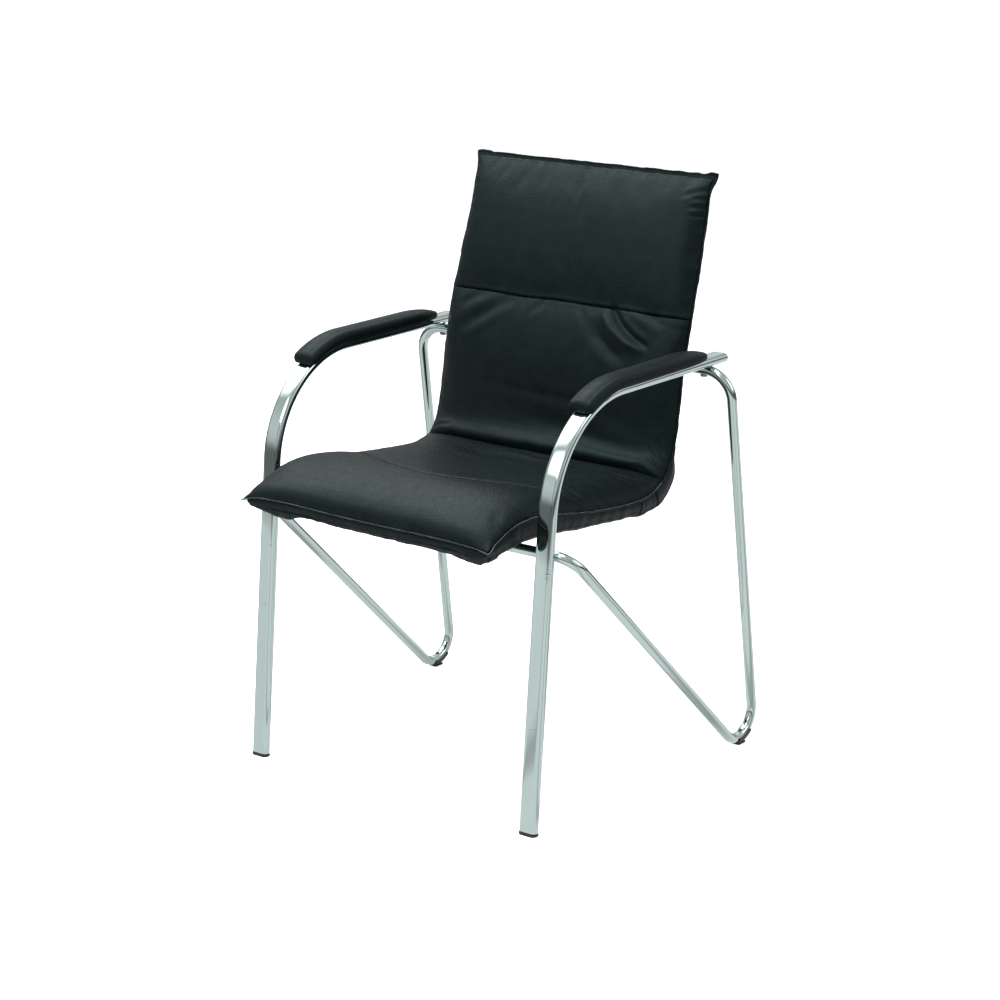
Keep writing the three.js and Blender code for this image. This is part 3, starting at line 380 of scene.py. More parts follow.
plastic = moulded("black plastic", (0.010, 0.011, 0.012), (0.015, 0.016, 0.018), 0.5)
steel = plated("zinc steel", (0.42, 0.44, 0.46), (0.55, 0.57, 0.6), 0.32)
black_steel = plated("blackened steel", (0.05, 0.052, 0.055), (0.08, 0.083, 0.088), 0.38)
wood = timber("plywood", (0.45, 0.29, 0.14), (0.62, 0.43, 0.24))
foam = sponge("foam", (0.55, 0.5, 0.3), (0.72, 0.67, 0.45))

# Sections and centre lines


def rounded_box(width, height, corner, steps=8):
    """Points around a rounded rectangle, anticlockwise."""
    points = []
    for quarter, (sx, sy) in enumerate([(1, 1), (-1, 1), (-1, -1), (1, -1)]):
        centre = np.array([sx * (width / 2 - corner), sy * (height / 2 - corner)])
        angles = (quarter + np.arange(steps + 1) / steps) * math.pi / 2
        points.append(centre + corner * np.stack([np.cos(angles), np.sin(angles)], -1))
    return np.concatenate(points)


def circle(radius, count=40):
    turn = np.arange(count) / count * 2 * math.pi
    return radius * np.stack([np.cos(turn), np.sin(turn)], -1)


def bent_line(corners, radii, step):
    """Stations (point, heading) along straight runs joined by arcs."""
    corners = [np.array(corner, dtype=float) for corner in corners]

    def heading(start, end):
        return (end - start) / np.linalg.norm(end - start)

    stations = [(corners[0], heading(corners[0], corners[1]))]
    for bend, radius in enumerate(radii):
        corner = corners[bend + 1]
        arriving = heading(corners[bend], corner)
        leaving = heading(corner, corners[bend + 2])
        turn = math.acos(np.clip(arriving @ leaving, -1, 1))
        inward = leaving - arriving * math.cos(turn)
        inward /= np.linalg.norm(inward)
        start = corner - arriving * radius * math.tan(turn / 2)
        centre = start + inward * radius
        count = math.ceil(turn / step)
        for place in range(count + 1):
            angle = turn * place / count
            point = centre - inward * radius * math.cos(angle) + arriving * radius * math.sin(angle)
            stations.append((point, arriving * math.cos(angle) + inward * math.sin(angle)))
    stations.append((corners[-1], heading(corners[-2], corners[-1])))
    return stations


def swept(section, stations, side=None):
    """Rings of a section along stations, turning as little as possible. side is the section's first axis."""
    rings = []
    for point, heading in stations:
        if side is None:
            side = np.cross(heading, [0.0, 0.0, 1.0])
            if np.linalg.norm(side) < 1e-6:
                side = np.array([1.0, 0.0, 0.0])
        side = np.asarray(side, dtype=float)
        side = side - heading * (side @ heading)
        side /= np.linalg.norm(side)
        other = np.cross(heading, side)
        rings.append(point + section[:, :1] * side + section[:, 1:] * other)
    return np.array(rings)


def denser(outline, step=2.0):
    """The same outline with more points along its straight stretches."""
    points = []
    for start, end in zip(outline, np.roll(outline, -1, axis=0)):
        count = max(1, math.ceil(np.linalg.norm(end - start) / step))
        points += [start + (end - start) * place / count for place in range(count)]
    return np.array(points)


def crowned(outline, width, height, crown):
    """An outline whose long faces rise to the full height only at their middle."""
    fall = crown * (outline[:, 0] / (width / 2)) ** 2
    return outline * np.stack([np.ones(len(outline)), 1 - fall / (height / 2)], -1)


SIDES = {"left": 1, "right": -1}


def at_side(rings, sign):
    return np.asarray(rings) + [sign * ARM_HALF, 0, 0]


def inset_oval(inset):
    """The oval tube's outline, drawn in by that much all round."""
    return rounded_box(OVAL_WIDTH - 2 * inset, OVAL_THICKNESS - 2 * inset, OVAL_CORNER - inset, 10)


# Leg and arm tubes

leg_end_z = FOOT_COLLAR + OVAL_THICKNESS / 2 * math.sin(LEG_LEAN)
leg_end = np.array([0, leg_y(leg_end_z), leg_end_z])
arm_corner = np.array([0, leg_y(arm_centre), arm_centre])
arm_tip = np.array([0, arm_end - CAP_PLATE - FIT, arm_centre])
arm_line = bent_line([leg_end, arm_corner, arm_tip], [ARM_BEND], math.radians(2))
oval = denser(rounded_box(OVAL_WIDTH, OVAL_THICKNESS, OVAL_TUBE_CORNER, 12))
oval = crowned(oval, OVAL_WIDTH, OVAL_THICKNESS, OVAL_TUBE_CROWN)

# Each ring of an arm's end cap: how far it lies behind the tube's end, and how far it is drawn in
CAP_RINGS = [(-CAP_SPIGOT, SPIGOT_INSET), (0, SPIGOT_INSET), (0, 0.5), (0.35, 0.1), (0.7, 0)]
CAP_RINGS += [(CAP_PLATE - 0.5, 0), (CAP_PLATE - 0.15, 0.3), (CAP_PLATE, 0.9)]


def cap_rings():
    rings = []
    for back, inset in CAP_RINGS:
        outline = inset_oval(inset)
        y = np.full(len(outline), arm_end - CAP_PLATE + back)
        rings.append(np.stack([outline[:, 0], y, arm_centre - outline[:, 1]], -1))
    return rings


for side, sign in SIDES.items():
    tube = skin(f"leg and arm tube {side}", at_side(swept(oval, arm_line, [1, 0, 0]), sign), chrome, sharp=60)
    ride(tube, f"leg_arm_tube_{side}")
    cap = skin(f"arm end cap {side}", at_side(cap_rings(), sign), chrome, sharp=50)
    ride(cap, f"arm_end_cap_{side}")

# Front feet

# Each ring of a foot's collar: its height, and how far it stands out past the foot's rim
COLLAR_RINGS = [(0, -0.7), (0.25, -0.2), (0.8, 0), (3.0, 0), (3.5, -0.15), (3.7, -0.5)]


def front_foot_rings():
    """The collar under the tube, and the spigot in it, which leans with the leg."""
    rings = []
    for height, grow in COLLAR_RINGS:
        outline = inset_oval(-FOOT_RIM - grow)
        drop = outline[:, 1] * math.sin(LEG_LEAN) * (height / FOOT_COLLAR)
        y = outline[:, 1] / math.cos(LEG_LEAN) + leg_y(height)
        rings.append(np.stack([outline[:, 0], y, height - drop], -1))
    spigot = inset_oval(SPIGOT_INSET)
    drop = spigot[:, 1] * math.sin(LEG_LEAN)
    for height in (COLLAR_RINGS[-1][0], FOOT_SPIGOT):
        rings.append(np.stack([spigot[:, 0], spigot[:, 1] + leg_y(height), height - drop], -1))
    return rings


for side, sign in SIDES.items():
    foot = skin(f"front foot {side}", at_side(front_foot_rings(), sign), plastic, sharp=50)
    ride(foot, f"front_foot_plug_{side}")


# Rear loop

foot_centre = np.array([rear_foot_y, CLIP_FLOOR + LOOP_RADIUS + FOOT_BEND])


def foot_apex():
    def angle_to(y, z, sign):
        toward = np.array([y, z]) - foot_centre
        return math.atan2(toward[1], toward[0]) + sign * math.asin(FOOT_BEND / np.linalg.norm(toward))

    leg = angle_to(crossbar_y, crossbar_z, 1)
    strut = angle_to(cross_y, cross_z, -1)
    middle = (leg + strut) / 2
    reach = FOOT_BEND / math.sin((strut - leg) / 2)
    return foot_centre - reach * np.array([math.cos(middle), math.sin(middle)])


apex = foot_apex()


def loop_corners(sign):
    return [
        (sign * (ARM_HALF + STRUT_OUTSIDE), cross_y, cross_z),
        (sign * (ARM_HALF + FOOT_OUTSIDE), apex[0], apex[1]),
        (sign * (ARM_HALF + CROSSBAR_OUTSIDE), crossbar_y, crossbar_z),
    ]


corners = [(FIT / 2, cross_y, cross_z), *loop_corners(1), *loop_corners(-1)[::-1]]
corners += [(-FIT / 2, cross_y, cross_z)]
loop_radii = [STRUT_BEND, FOOT_BEND, TOP_BEND, TOP_BEND, FOOT_BEND, STRUT_BEND]
loop_line = bent_line(corners, loop_radii, math.radians(4))
loop = skin("rear loop tube", swept(circle(LOOP_RADIUS, 48), loop_line), chrome, sharp=60)
ride(loop, "rear_loop_tube")


def foot_frame(sign):
    """The lowest place of a foot bend, its heading there and the way to the bend's centre."""
    line = bent_line(loop_corners(sign), [FOOT_BEND], math.radians(0.5))[1:-1]
    lowest, heading = min(line, key=lambda station: station[0][2])
    plane = np.cross(line[0][1], line[-1][1])
    plane /= np.linalg.norm(plane)
    inward = np.cross(plane, heading)
    inward /= np.linalg.norm(inward)
    return lowest, heading, inward, lowest + inward * FOOT_BEND, plane


def foot_place(data, angle):
    lowest, heading, inward, centre, plane = data
    away = -inward * math.cos(angle) + heading * math.sin(angle)
    return centre + away * FOOT_BEND, away


def clip_band(data):
    """The clip's band around the outside of the bend, cut off flat at the floor."""
    plane = data[4]
    outer, inner = LOOP_RADIUS + CLIP_WALL, LOOP_RADIUS + 0.1
    turns = np.linspace(-CLIP_HALF_TURN, CLIP_HALF_TURN, 25)
    section = [(outer * math.cos(t), outer * math.sin(t)) for t in turns]
    section += [(inner * math.cos(t), inner * math.sin(t)) for t in turns[::-1]]
    rings = []
    for angle in np.linspace(-CLIP_FRONT, CLIP_REAR, 13):
        point, away = foot_place(data, angle)
        rings.append([point + away * a - plane * b for a, b in section])
    rings = np.array(rings)
    rings[:, :, 2] = np.maximum(rings[:, :, 2], 0)
    return rings[:, ::-1]


def clip_sole(data):
    """The clip's flat plate on the floor."""
    lowest = data[0]
    rear = (FOOT_BEND + LOOP_RADIUS) * math.sin(CLIP_REAR) * 0.5
    front = (FOOT_BEND + LOOP_RADIUS) * math.sin(CLIP_FRONT)
    outline = rounded_box(2 * LOOP_RADIUS, front + rear, 3, 6)
    rings = []
    for height, grow in [(0, -0.5), (0.4, 0), (CLIP_PLATE, 0)]:
        spread = outline * (1 + grow / LOOP_RADIUS)
        x = lowest[0] + spread[:, 0]
        y = lowest[1] + (rear - front) / 2 + spread[:, 1]
        rings.append(np.stack([x, y, np.full(len(outline), height)], -1))
    return rings


for side, sign in SIDES.items():
    data = foot_frame(sign)
    parts = [(clip_band(data), False), (clip_sole(data), False)]
    clip = merged(f"rear foot clip {side}", parts, plastic, sharp=45)
    ride(clip, f"rear_foot_clip_{side}")

# Seat and back profile


def through(points, count=200):
    """A centripetal Catmull-Rom curve through points, sampled evenly in each span."""
    padded = np.vstack([2 * points[0] - points[1], points, 2 * points[-1] - points[-2]])
    samples, spans = [], []
    part = np.arange(count)[:, None] / count
    for row in range(len(points) - 1):
        p0, p1, p2, p3 = padded[row : row + 4]
        d0, d1, d2 = (np.linalg.norm(b - a) ** 0.5 for a, b in ((p0, p1), (p1, p2), (p2, p3)))
        t1 = ((p1 - p0) / d0 - (p2 - p0) / (d0 + d1) + (p2 - p1) / d1) * d1
        t2 = ((p2 - p1) / d1 - (p3 - p1) / (d1 + d2) + (p3 - p2) / d2) * d1
        c2 = -3 * p1 + 3 * p2 - 2 * t1 - t2
        c3 = 2 * p1 - 2 * p2 + t1 + t2
        samples.append(p1 + t1 * part + c2 * part**2 + c3 * part**3)
        spans.append(row + part[:, 0])
    samples.append(points[-1:])
    spans.append([len(points) - 1])
    return np.vstack(samples), np.concatenate(spans)


def eased(x, y, places):
    """A smooth curve through the values y at the places x that never overshoots."""
    gap = np.diff(x)
    slope = np.diff(y) / gap
    lean = np.zeros_like(y)
    same = slope[:-1] * slope[1:] > 0
    total = np.where(same, slope[:-1] + slope[1:], 1)
    lean[1:-1] = np.where(same, 2 * slope[:-1] * slope[1:] / total, 0)
    lean[0], lean[-1] = slope[0], slope[-1]
    places = np.clip(places, x[0], x[-1])
    row = np.clip(np.searchsorted(x, places, side="right") - 1, 0, len(gap) - 1)
    t = (places - x[row]) / gap[row]
    h = gap[row]
    return (
        y[row] * (2 * t**3 - 3 * t**2 + 1)
        + lean[row] * h * (t**3 - 2 * t**2 + t)
        + y[row + 1] * (3 * t**2 - 2 * t**3)
        + lean[row + 1] * h * (t**3 - t**2)
    )


def path_lengths(points):
    """The length along a path of points up to each of them."""
    return np.concatenate([[0], np.cumsum(np.linalg.norm(np.diff(points, axis=0), axis=1))])


profile_points = np.stack([SEAM_FRONT_Y + PROFILE[:, 0] * RUN, SEAT_LIFT + PROFILE[:, 1] * RISE], -1)
profile_dense, profile_spans = through(profile_points)
profile_lengths = path_lengths(profile_dense)
profile_length = profile_lengths[-1]
profile_shares = profile_lengths / profile_length
profile_slopes = np.gradient(profile_dense, profile_lengths + np.arange(len(profile_lengths)) * 1e-9, axis=0)
profile_slopes /= np.linalg.norm(profile_slopes, axis=1)[:, None]


def profile_column(column):
    """A column of PROFILE, carried smoothly from row to row."""
    span = np.clip(profile_spans.astype(int), 0, len(PROFILE) - 2)
    part = profile_spans - span
    part = part * part * (3 - 2 * part)
    return PROFILE[span, column] * (1 - part) + PROFILE[span + 1, column] * part


profile_depths = SHELL_DEPTH * profile_column(2)
profile_halves = BODY_HALF * profile_column(3)


def sample(values, shares):
    return np.interp(np.clip(shares, 0, 1), profile_shares, values)


def body_points(shares, across, out, ahead=0):
    """Points beside the seam line: across the chair, out towards the sitter and ahead along the profile."""
    shares, across, out, ahead = np.broadcast_arrays(shares, across, out, ahead)
    slope_y = sample(profile_slopes[:, 0], shares)
    slope_z = sample(profile_slopes[:, 1], shares)
    y = sample(profile_dense[:, 0], shares) - slope_z * out + slope_y * ahead
    z = sample(profile_dense[:, 1], shares) + slope_y * out + slope_z * ahead
    return np.stack([across, y, z], -1)


def half_at(shares):
    return sample(profile_halves, shares)


seat_to = CREASE - FIT / 2 / profile_length
back_from = CREASE + FIT / 2 / profile_length


def front_bow(share, across):
    """How far the cover pulls the front seam up, all along it."""
    return eased(*FRONT_BOW, across) * np.exp(-((share / 0.03) ** 2))


def seat_row(share, x):
    near = np.where(share < SEAT_SEAM, share / SEAT_SEAM, (1 - share) / (1 - SEAT_SEAM))
    return seat_to * (share + near * SEAM_BOW * x * x)


def back_row(share, x):
    wave = 0.0016 * np.sin(5.3 * x + 0.6) + 0.001 * np.sin(11 * x + 2)
    near = np.exp(-(((share - BACK_SEAM) / 0.05) ** 2))
    return back_from + (1 - back_from) * (share * (1 - TOP_DROP / 480) + wave * near)


def even_steps(values, lengths, step):
    """Values picked so that their lengths lie evenly apart."""
    total = lengths[-1]
    wanted = np.linspace(0, total, max(2, round(total / step)) + 1)
    return np.interp(wanted, lengths, values)


class Panel:
    """The padding of the seat or the back as a grid of points over rows along it and columns across it."""

    def __init__(self, row_at, rows, crown, power, step, seam):
        self.rows = np.array(rows, dtype=float).T
        self.row_at, self.crown, self.power = row_at, crown, power
        dense = np.linspace(0, 1, 3001)
        middle = self.surface(dense[:, None], np.zeros((1, 1)))[:, 0]
        lengths = path_lengths(middle)
        even = even_steps(dense, lengths, step)
        beside = np.array([-4.5, -3, -2, -1.2, -0.6, 0, 0.6, 1.2, 2, 3, 4.5])
        close = np.interp(np.interp(seam, dense, lengths) + beside, lengths, dense)
        clear = (even < close[0] - 2.0 / lengths[-1]) | (even > close[-1] + 2.0 / lengths[-1])
        self.shares = np.sort(np.concatenate([even[clear], close]))
        across = np.sin(np.linspace(-1, 1, 1201) * math.pi / 2)
        lengths = path_lengths(np.stack([across * BODY_HALF, crown * self.side_rise(across)], -1))
        self.across = even_steps(across, lengths, step)
        self.S, self.X = np.meshgrid(self.shares, self.across, indexing="ij")
        self.points = self.surface(self.S, self.X)
        self.place = self.row_at(self.S, self.X)
        self.U = self.X * half_at(self.place)
        self.V = self.place * profile_length
        self.normals = outward(self.points)

    def surface(self, share, x):
        place = self.row_at(share, x)
        starts, heights, dishes = self.rows
        height = eased(starts, heights, share) * self.crown
        fullness = (1 - eased(starts, dishes, share) * (1 - x * x) ** 2) * self.side_rise(x)
        across = x * half_at(place)
        out = SEAM_SPACE + CROWN_EDGE + np.maximum(0, height - CROWN_EDGE) * fullness
        return body_points(place, across, out + front_bow(place, across))

    def side_rise(self, x):
        return np.sqrt(np.maximum(0, 1 - np.abs(x) ** self.power))

    def push(self, amount):
        self.points = self.points + self.normals * amount[..., None]

    def rings(self):
        """Closed rings: the crowned face and the flat side that lies on the seam."""
        flat = np.linspace(1, -1, 13)[None]
        shares = self.shares[:, None]
        place = self.row_at(shares, flat)
        across = flat * half_at(place)
        under = body_points(place, across, SEAM_SPACE + front_bow(place, across))
        return np.concatenate([under, self.points], axis=1)


def outward(points):
    along = np.gradient(points, axis=0)
    across = np.gradient(points, axis=1)
    normals = np.cross(across, along)
    size = np.linalg.norm(normals, axis=-1, keepdims=True)
    return normals / np.maximum(size, 1e-9)


# Folds, seams and wrinkles, as pushes along the normal in millimetres


def from_path(U, V, path):
    """The distance from each point to a path of (across, along) places, and how far along it that is."""
    path = np.asarray(path, dtype=float)
    lengths = path_lengths(path)
    best = np.full(U.shape, 1e9)
    share = np.zeros(U.shape)
    for row in range(len(path) - 1):
        a, b = path[row], path[row + 1]
        step = b - a
        t = np.clip(((U - a[0]) * step[0] + (V - a[1]) * step[1]) / (step @ step), 0, 1)
        distance = np.hypot(U - a[0] - t * step[0], V - a[1] - t * step[1])
        nearer = distance < best
        best = np.where(nearer, distance, best)
        share = np.where(nearer, (lengths[row] + t * (lengths[row + 1] - lengths[row])) / lengths[-1], share)
    return best, share


def fold(U, V, path, depth, width, ridge=0.0, ends=0.35):
    """A valley along a path with soft ridges beside it. It fades at both ends, each a share of its length."""
    distance, share = from_path(U, V, path)
    fade = np.minimum(1, np.minimum(share, 1 - share) / ends)
    fade = np.sin(fade * math.pi / 2)
    valley = -depth * np.exp(-((distance / width) ** 2))
    lip = ridge * np.exp(-(((distance - 1.9 * width) / (0.9 * width)) ** 2))
    return fade * (valley + lip)


def lattice(U, V, size_u, size_v, seed):
    """Smooth seeded noise between -1 and 1 with hills of about that size in millimetres."""
    random = np.random.default_rng(seed)
    table = random.uniform(-1, 1, (64, 64))
    a, b = U / size_u, V / size_v
    i, j = np.floor(a).astype(int), np.floor(b).astype(int)
    s, t = a - i, b - j
    s, t = s * s * s * (s * (s * 6 - 15) + 10), t * t * t * (t * (t * 6 - 15) + 10)

    def at(di, dj):
        return table[(i + di) % 64, (j + dj) % 64]

    return (at(0, 0) * (1 - s) + at(1, 0) * s) * (1 - t) + (at(0, 1) * (1 - s) + at(1, 1) * s) * t


def valley(distance, depth, width):
    return -depth * np.exp(-((distance / width) ** 2))


seat = Panel(seat_row, SEAT_ROWS, SEAT_CROWN, 6, 2.6, SEAT_SEAM)
back = Panel(back_row, [[*row, 0] for row in BACK_ROWS], BACK_CROWN, 6, 2.6, BACK_SEAM)

seat_seam = (seat.S - SEAT_SEAM) * seat_to * profile_length
back_seam = (back.S - BACK_SEAM) * (1 - back_from) * profile_length

# Fullness, from a cloth simulation

SWELL_EVERY = 3
SWELL_FRAMES = 20
SWELL_LIMIT = 3.0
CLOTH = {
    "quality": 6,
    "mass": 0.4,
    "tension_stiffness": 12,
    "compression_stiffness": 12,
    "shear_stiffness": 4,
    "bending_stiffness": 1.0,
    "air_damping": 4,
    "use_pressure": True,
    "uniform_pressure_force": 4.0,
    "vertex_group_mass": "held",
}


def between(places, wanted, values):
    """Vectors at the wanted places, from a list of them at other places."""
    return np.stack([np.interp(wanted, places, values[:, k]) for k in range(3)], -1)


def spread_out(coarse, rows, columns, fine_rows, fine_columns):
    """Values on a coarse grid carried to a finer one, with smooth transitions."""
    half = np.stack([between(columns, fine_columns, line) for line in coarse])
    full = np.stack([between(rows, fine_rows, half[:, c]) for c in range(half.shape[1])], axis=1)
    for _ in range(3):
        full[1:-1] = (full[:-2] + 2 * full[1:-1] + full[2:]) / 4
        full[:, 1:-1] = (full[:, :-2] + 2 * full[:, 1:-1] + full[:, 2:]) / 4
    return full


def swollen(start, held, growth):
    """How far a cloth simulation with pressure moves a grid of points. The held ones stay."""
    high, wide = held.shape
    corners = np.arange(high * wide).reshape(high, wide)
    quads = np.stack([corners[:-1, :-1], corners[:-1, 1:], corners[1:, 1:], corners[1:, :-1]], -1)
    mesh = bpy.data.meshes.new("swelling")
    mesh.from_pydata((start.reshape(-1, 3) / 1000).tolist(), [], quads.reshape(-1, 4).tolist())
    holder = bpy.data.objects.new("swelling", mesh)
    bpy.context.scene.collection.objects.link(holder)
    group = holder.vertex_groups.new(name="held")
    group.add(corners[held].tolist(), 1.0, "REPLACE")
    cloth = holder.modifiers.new("cloth", "CLOTH")
    for key, value in CLOTH.items():
        setattr(cloth.settings, key, value)
    cloth.settings.shrink_min = -growth
    cloth.settings.effector_weights.gravity = 0
    cloth.point_cache.frame_start, cloth.point_cache.frame_end = 1, SWELL_FRAMES
    for frame_number in range(1, SWELL_FRAMES + 1):
        bpy.context.scene.frame_set(frame_number)
    settled = holder.evaluated_get(bpy.context.evaluated_depsgraph_get()).data
    after = np.empty(high * wide * 3)
    settled.vertices.foreach_get("co", after)
    bpy.data.objects.remove(holder)
    bpy.data.meshes.remove(mesh)
    bpy.context.scene.frame_set(1)
    return after.reshape(high, wide, 3) * 1000 - start


def swell(panel, seam, growth):
    """Moves the cover with a swollen coarse copy of it that is held along its edges and its cross seam."""
    count_rows, count_columns = panel.S.shape
    seam_row = int(np.argmin(np.abs(panel.shares - seam)))
    before = np.arange(0, seam_row, SWELL_EVERY)
    behind = np.arange(seam_row + SWELL_EVERY, count_rows - 1, SWELL_EVERY)
    rows = np.unique(np.concatenate([before, [seam_row], behind, [count_rows - 1]]))
    columns = np.unique(np.append(np.arange(0, count_columns - 1, SWELL_EVERY), count_columns - 1))
    held = np.zeros((len(rows), len(columns)), dtype=bool)
    held[[0, -1]] = held[:, [0, -1]] = True
    held[int(np.searchsorted(rows, seam_row))] = True
    moved = swollen(panel.points[np.ix_(rows, columns)], held, growth)
    size = np.linalg.norm(moved, axis=-1, keepdims=True)
    moved *= SWELL_LIMIT * np.tanh(size / SWELL_LIMIT) / np.maximum(size, 1e-9)
    moved = spread_out(moved, rows, columns, np.arange(count_rows), np.arange(count_columns))
    panel.points = panel.points + moved
    panel.normals = outward(panel.points)


def push_folds(panel, folds):
    total = np.zeros(panel.U.shape)
    for depth, width, ridge, ends, *path in folds:
        total += fold(panel.U, panel.V, path, depth, width, ridge, ends)
    panel.push(total)


def puckers(panel, distance, along, reach, amount, size, seed):
    """Short wrinkles that a line of stitches pulls into the cover beside it."""
    wave = lattice(along, distance * 0.25, size, size * 2, seed)
    panel.push(amount * wave * np.exp(-np.abs(distance) / reach))


# Each fold: depth, width, height of the lips beside it, how much of its length fades, and its path
seat_folds = [
    (1.2, 5, 0.5, 0.5, (214, 416), (190, 402), (168, 396)),
    (1.1, 4, 0.5, 0.5, (222, 396), (200, 384), (186, 380)),
    (0.8, 12, 0.3, 0.5, (-150, 400), (-90, 380), (-20, 392), (60, 384)),
    (0.9, 7, 0.4, 0.5, (-60, 440), (20, 424), (110, 430)),
    (1.2, 6, 0.5, 0.5, (-228, 50), (-212, 66), (-200, 88)),
    (1.0, 7, 0.4, 0.5, (228, 34), (214, 48), (206, 70)),
    (1.0, 5, 0.4, 0.5, (228, 250), (210, 244), (186, 246)),
]
back_folds = [
    (4.0, 9, 1.8, 0.5, (-92, 706), (-128, 684), (-176, 652), (-200, 636)),
    (1.4, 6, 0.7, 0.5, (-150, 708), (-172, 696), (-204, 676)),
    (6.0, 5.0, 0.8, 0.25, (94, 720), (103, 704), (121, 686), (149, 668), (180, 655)),
    (-6.4, 6.6, 0, 0.35, (79, 706), (89, 692), (106, 676), (134, 660), (170, 646)),
    (5.4, 10, 0.4, 0.4, (66, 690), (82, 664), (108, 645), (146, 628)),
    (-4.0, 9, 0, 0.5, (118, 714), (136, 704), (168, 693), (196, 678)),
    (1.4, 7, 0.4, 0.5, (160, 712), (184, 700), (210, 684)),
    (1.4, 6, 0.6, 0.5, (-30, 708), (-48, 690), (-60, 676)),
    (1.2, 5, 0.5, 0.5, (30, 708), (44, 694), (52, 678)),
    (2.4, 14, 0.4, 0.35, (-60, 520), (25, 514), (100, 500), (160, 490), (216, 486)),
    (1.0, 8, 0.3, 0.4, (-200, 574), (-120, 566), (-30, 560), (60, 556), (130, 548)),
    (-1.2, 7, 0, 0.5, (140, 462), (176, 466), (208, 478)),
    (2.0, 4.5, 1.0, 0.5, (226, 460), (206, 474), (184, 482)),
    (1.7, 4, 0.8, 0.5, (228, 468), (212, 488), (198, 500)),
    (1.4, 4, 0.6, 0.5, (228, 480), (216, 504), (206, 522)),
    (1.8, 4.5, 0.8, 0.5, (-228, 464), (-204, 474), (-180, 478)),
    (1.6, 3.5, 0.7, 0.5, (231, 872), (214, 869), (202, 870)),
    (1.9, 3.5, 0.8, 0.5, (231, 884), (212, 882), (198, 880)),
    (1.6, 3.5, 0.7, 0.5, (231, 896), (214, 896), (200, 892)),
    (1.3, 4.0, 0.6, 0.5, (228, 910), (206, 904), (180, 896)),
    (1.2, 3.5, 0.5, 0.5, (-231, 886), (-214, 884), (-202, 880)),
]
swell(seat, SEAT_SEAM, 0.0)
swell(back, BACK_SEAM, 0.006)

# The seams across the panels, each with a ridge beside it, and slow waves. The seat's seam is
# shallower towards +X, and the seat stands higher in its rear corner at -X.
pull = 1 - 0.55 / (1 + np.exp(-(seat.U - 30) / 35))
seat.push(valley(seat_seam, 3.4, 1.4) * pull + 0.25 * lattice(seat.U, seat.V, 55, 70, 3))
seat.push(0.7 * pull * np.exp(-(((seat_seam - 5) / 3.0) ** 2)))
seat.push(4.5 * np.exp(-(((seat.V - 425) / 42) ** 2) - ((seat.U + 225) / 80) ** 2))
back.push(valley(back_seam, 2.5, 0.85) + 0.4 * lattice(back.U, back.V, 60, 80, 5))
back.push(1.1 * np.exp(-(((back_seam - 4) / 2.4) ** 2)))

# Single folds, then the short wrinkles that the seams and the sewn edge pull in
push_folds(seat, seat_folds)
push_folds(back, back_folds)
puckers(seat, seat_seam, seat.U, 9, 0.7, 9, 11)
puckers(back, back_seam, back.U, 8, 0.6, 8, 12)
for panel, seed in ((seat, 21), (back, 22)):
    edge = half_at(panel.place) - np.abs(panel.U)
    puckers(panel, edge, panel.V + np.where(panel.U > 0, 700, 0), 10, 0.8, 8, seed)
front = seat.V - seat.V[:1]
puckers(seat, front, seat.U, 12, 0.9, 10, 31)
puckers(back, back.V[-1:] - back.V, back.U, 9, 0.8, 9, 32)

seat_piece = skin("seat cushion", seat.rings(), hide, sharp=70)
ride(seat_piece, "seat_cushion")
back_piece = skin("back cushion", back.rings(), hide, sharp=70)
ride(back_piece, "back_cushion")

# Cover on the sides, the back and the underside

# How far the cover hangs down at the front, in the second row, at the places across in the first
FRONT_SAG = (
    [-231, -218, -205, -190, -175, -162, -150, -140, -128, -90, -45, 0, 60, 120, 160, 187, 210, 231],
    [-7, -6, -3.5, -1, 1.5, 2.5, 2, -1.5, -4, -4.5, -3, -2.5, -2, -1.5, 0.5, 5.0, 8.5, 6],
)
SIDE_SEAMS = (392, 431)
COVER_STEP = 3.0
COVER_ROUND = 13
POUCH_AT = 200


def corner_sag(along, across):
    """How far the cover hangs down at the front. Where it is drawn up instead, that ends before the board."""
    sag = np.interp(across, *FRONT_SAG)
    fade = np.where(sag < 0, 8, np.where(across > 0, 42, 30))
    return sag * np.exp(-((along / fade) ** 2))


def cover_ring(share):
    """The cover's closed section: across and down, round the underside and back along the seam."""
    half = float(half_at(share))
    depth = float(sample(profile_depths, share))
    corner = min(9.0, depth * 0.6)
    bottom = half - COVER_TUCK
    wall = np.linspace(0, 1, 13)[:-1]
    down = SEAM_SPACE + (depth - SEAM_SPACE - corner) * wall
    bulge = 1.2 * np.sin(math.pi * np.minimum(1, wall * 1.05))
    x = half - COVER_TUCK * 0.4 * wall**2 + bulge
    turn = np.linspace(0, math.pi / 2, 9)
    corner_x = bottom - corner + (corner + COVER_TUCK * 0.6) * np.cos(turn)
    corner_down = depth - corner + corner * np.sin(turn)
    middle = np.linspace(1, 0, 40)[1:]
    across = np.concatenate([x, corner_x, (bottom - corner) * middle])
    downs = np.concatenate([down, corner_down, np.full(len(middle), depth)])
    top = np.linspace(-1, 1, 62)[1:-1] * x[0]
    across = np.concatenate([across, -across[-2::-1], top])
    return across, np.concatenate([downs, downs[-2::-1], np.full(len(top), SEAM_SPACE)])


def rounded_off(along, reach):
    """How far a rounded edge of that reach still falls back at a distance from its start."""
    return reach * (1 - math.sqrt(max(0.0, 1 - (1 - min(1.0, along / reach)) ** 2)))


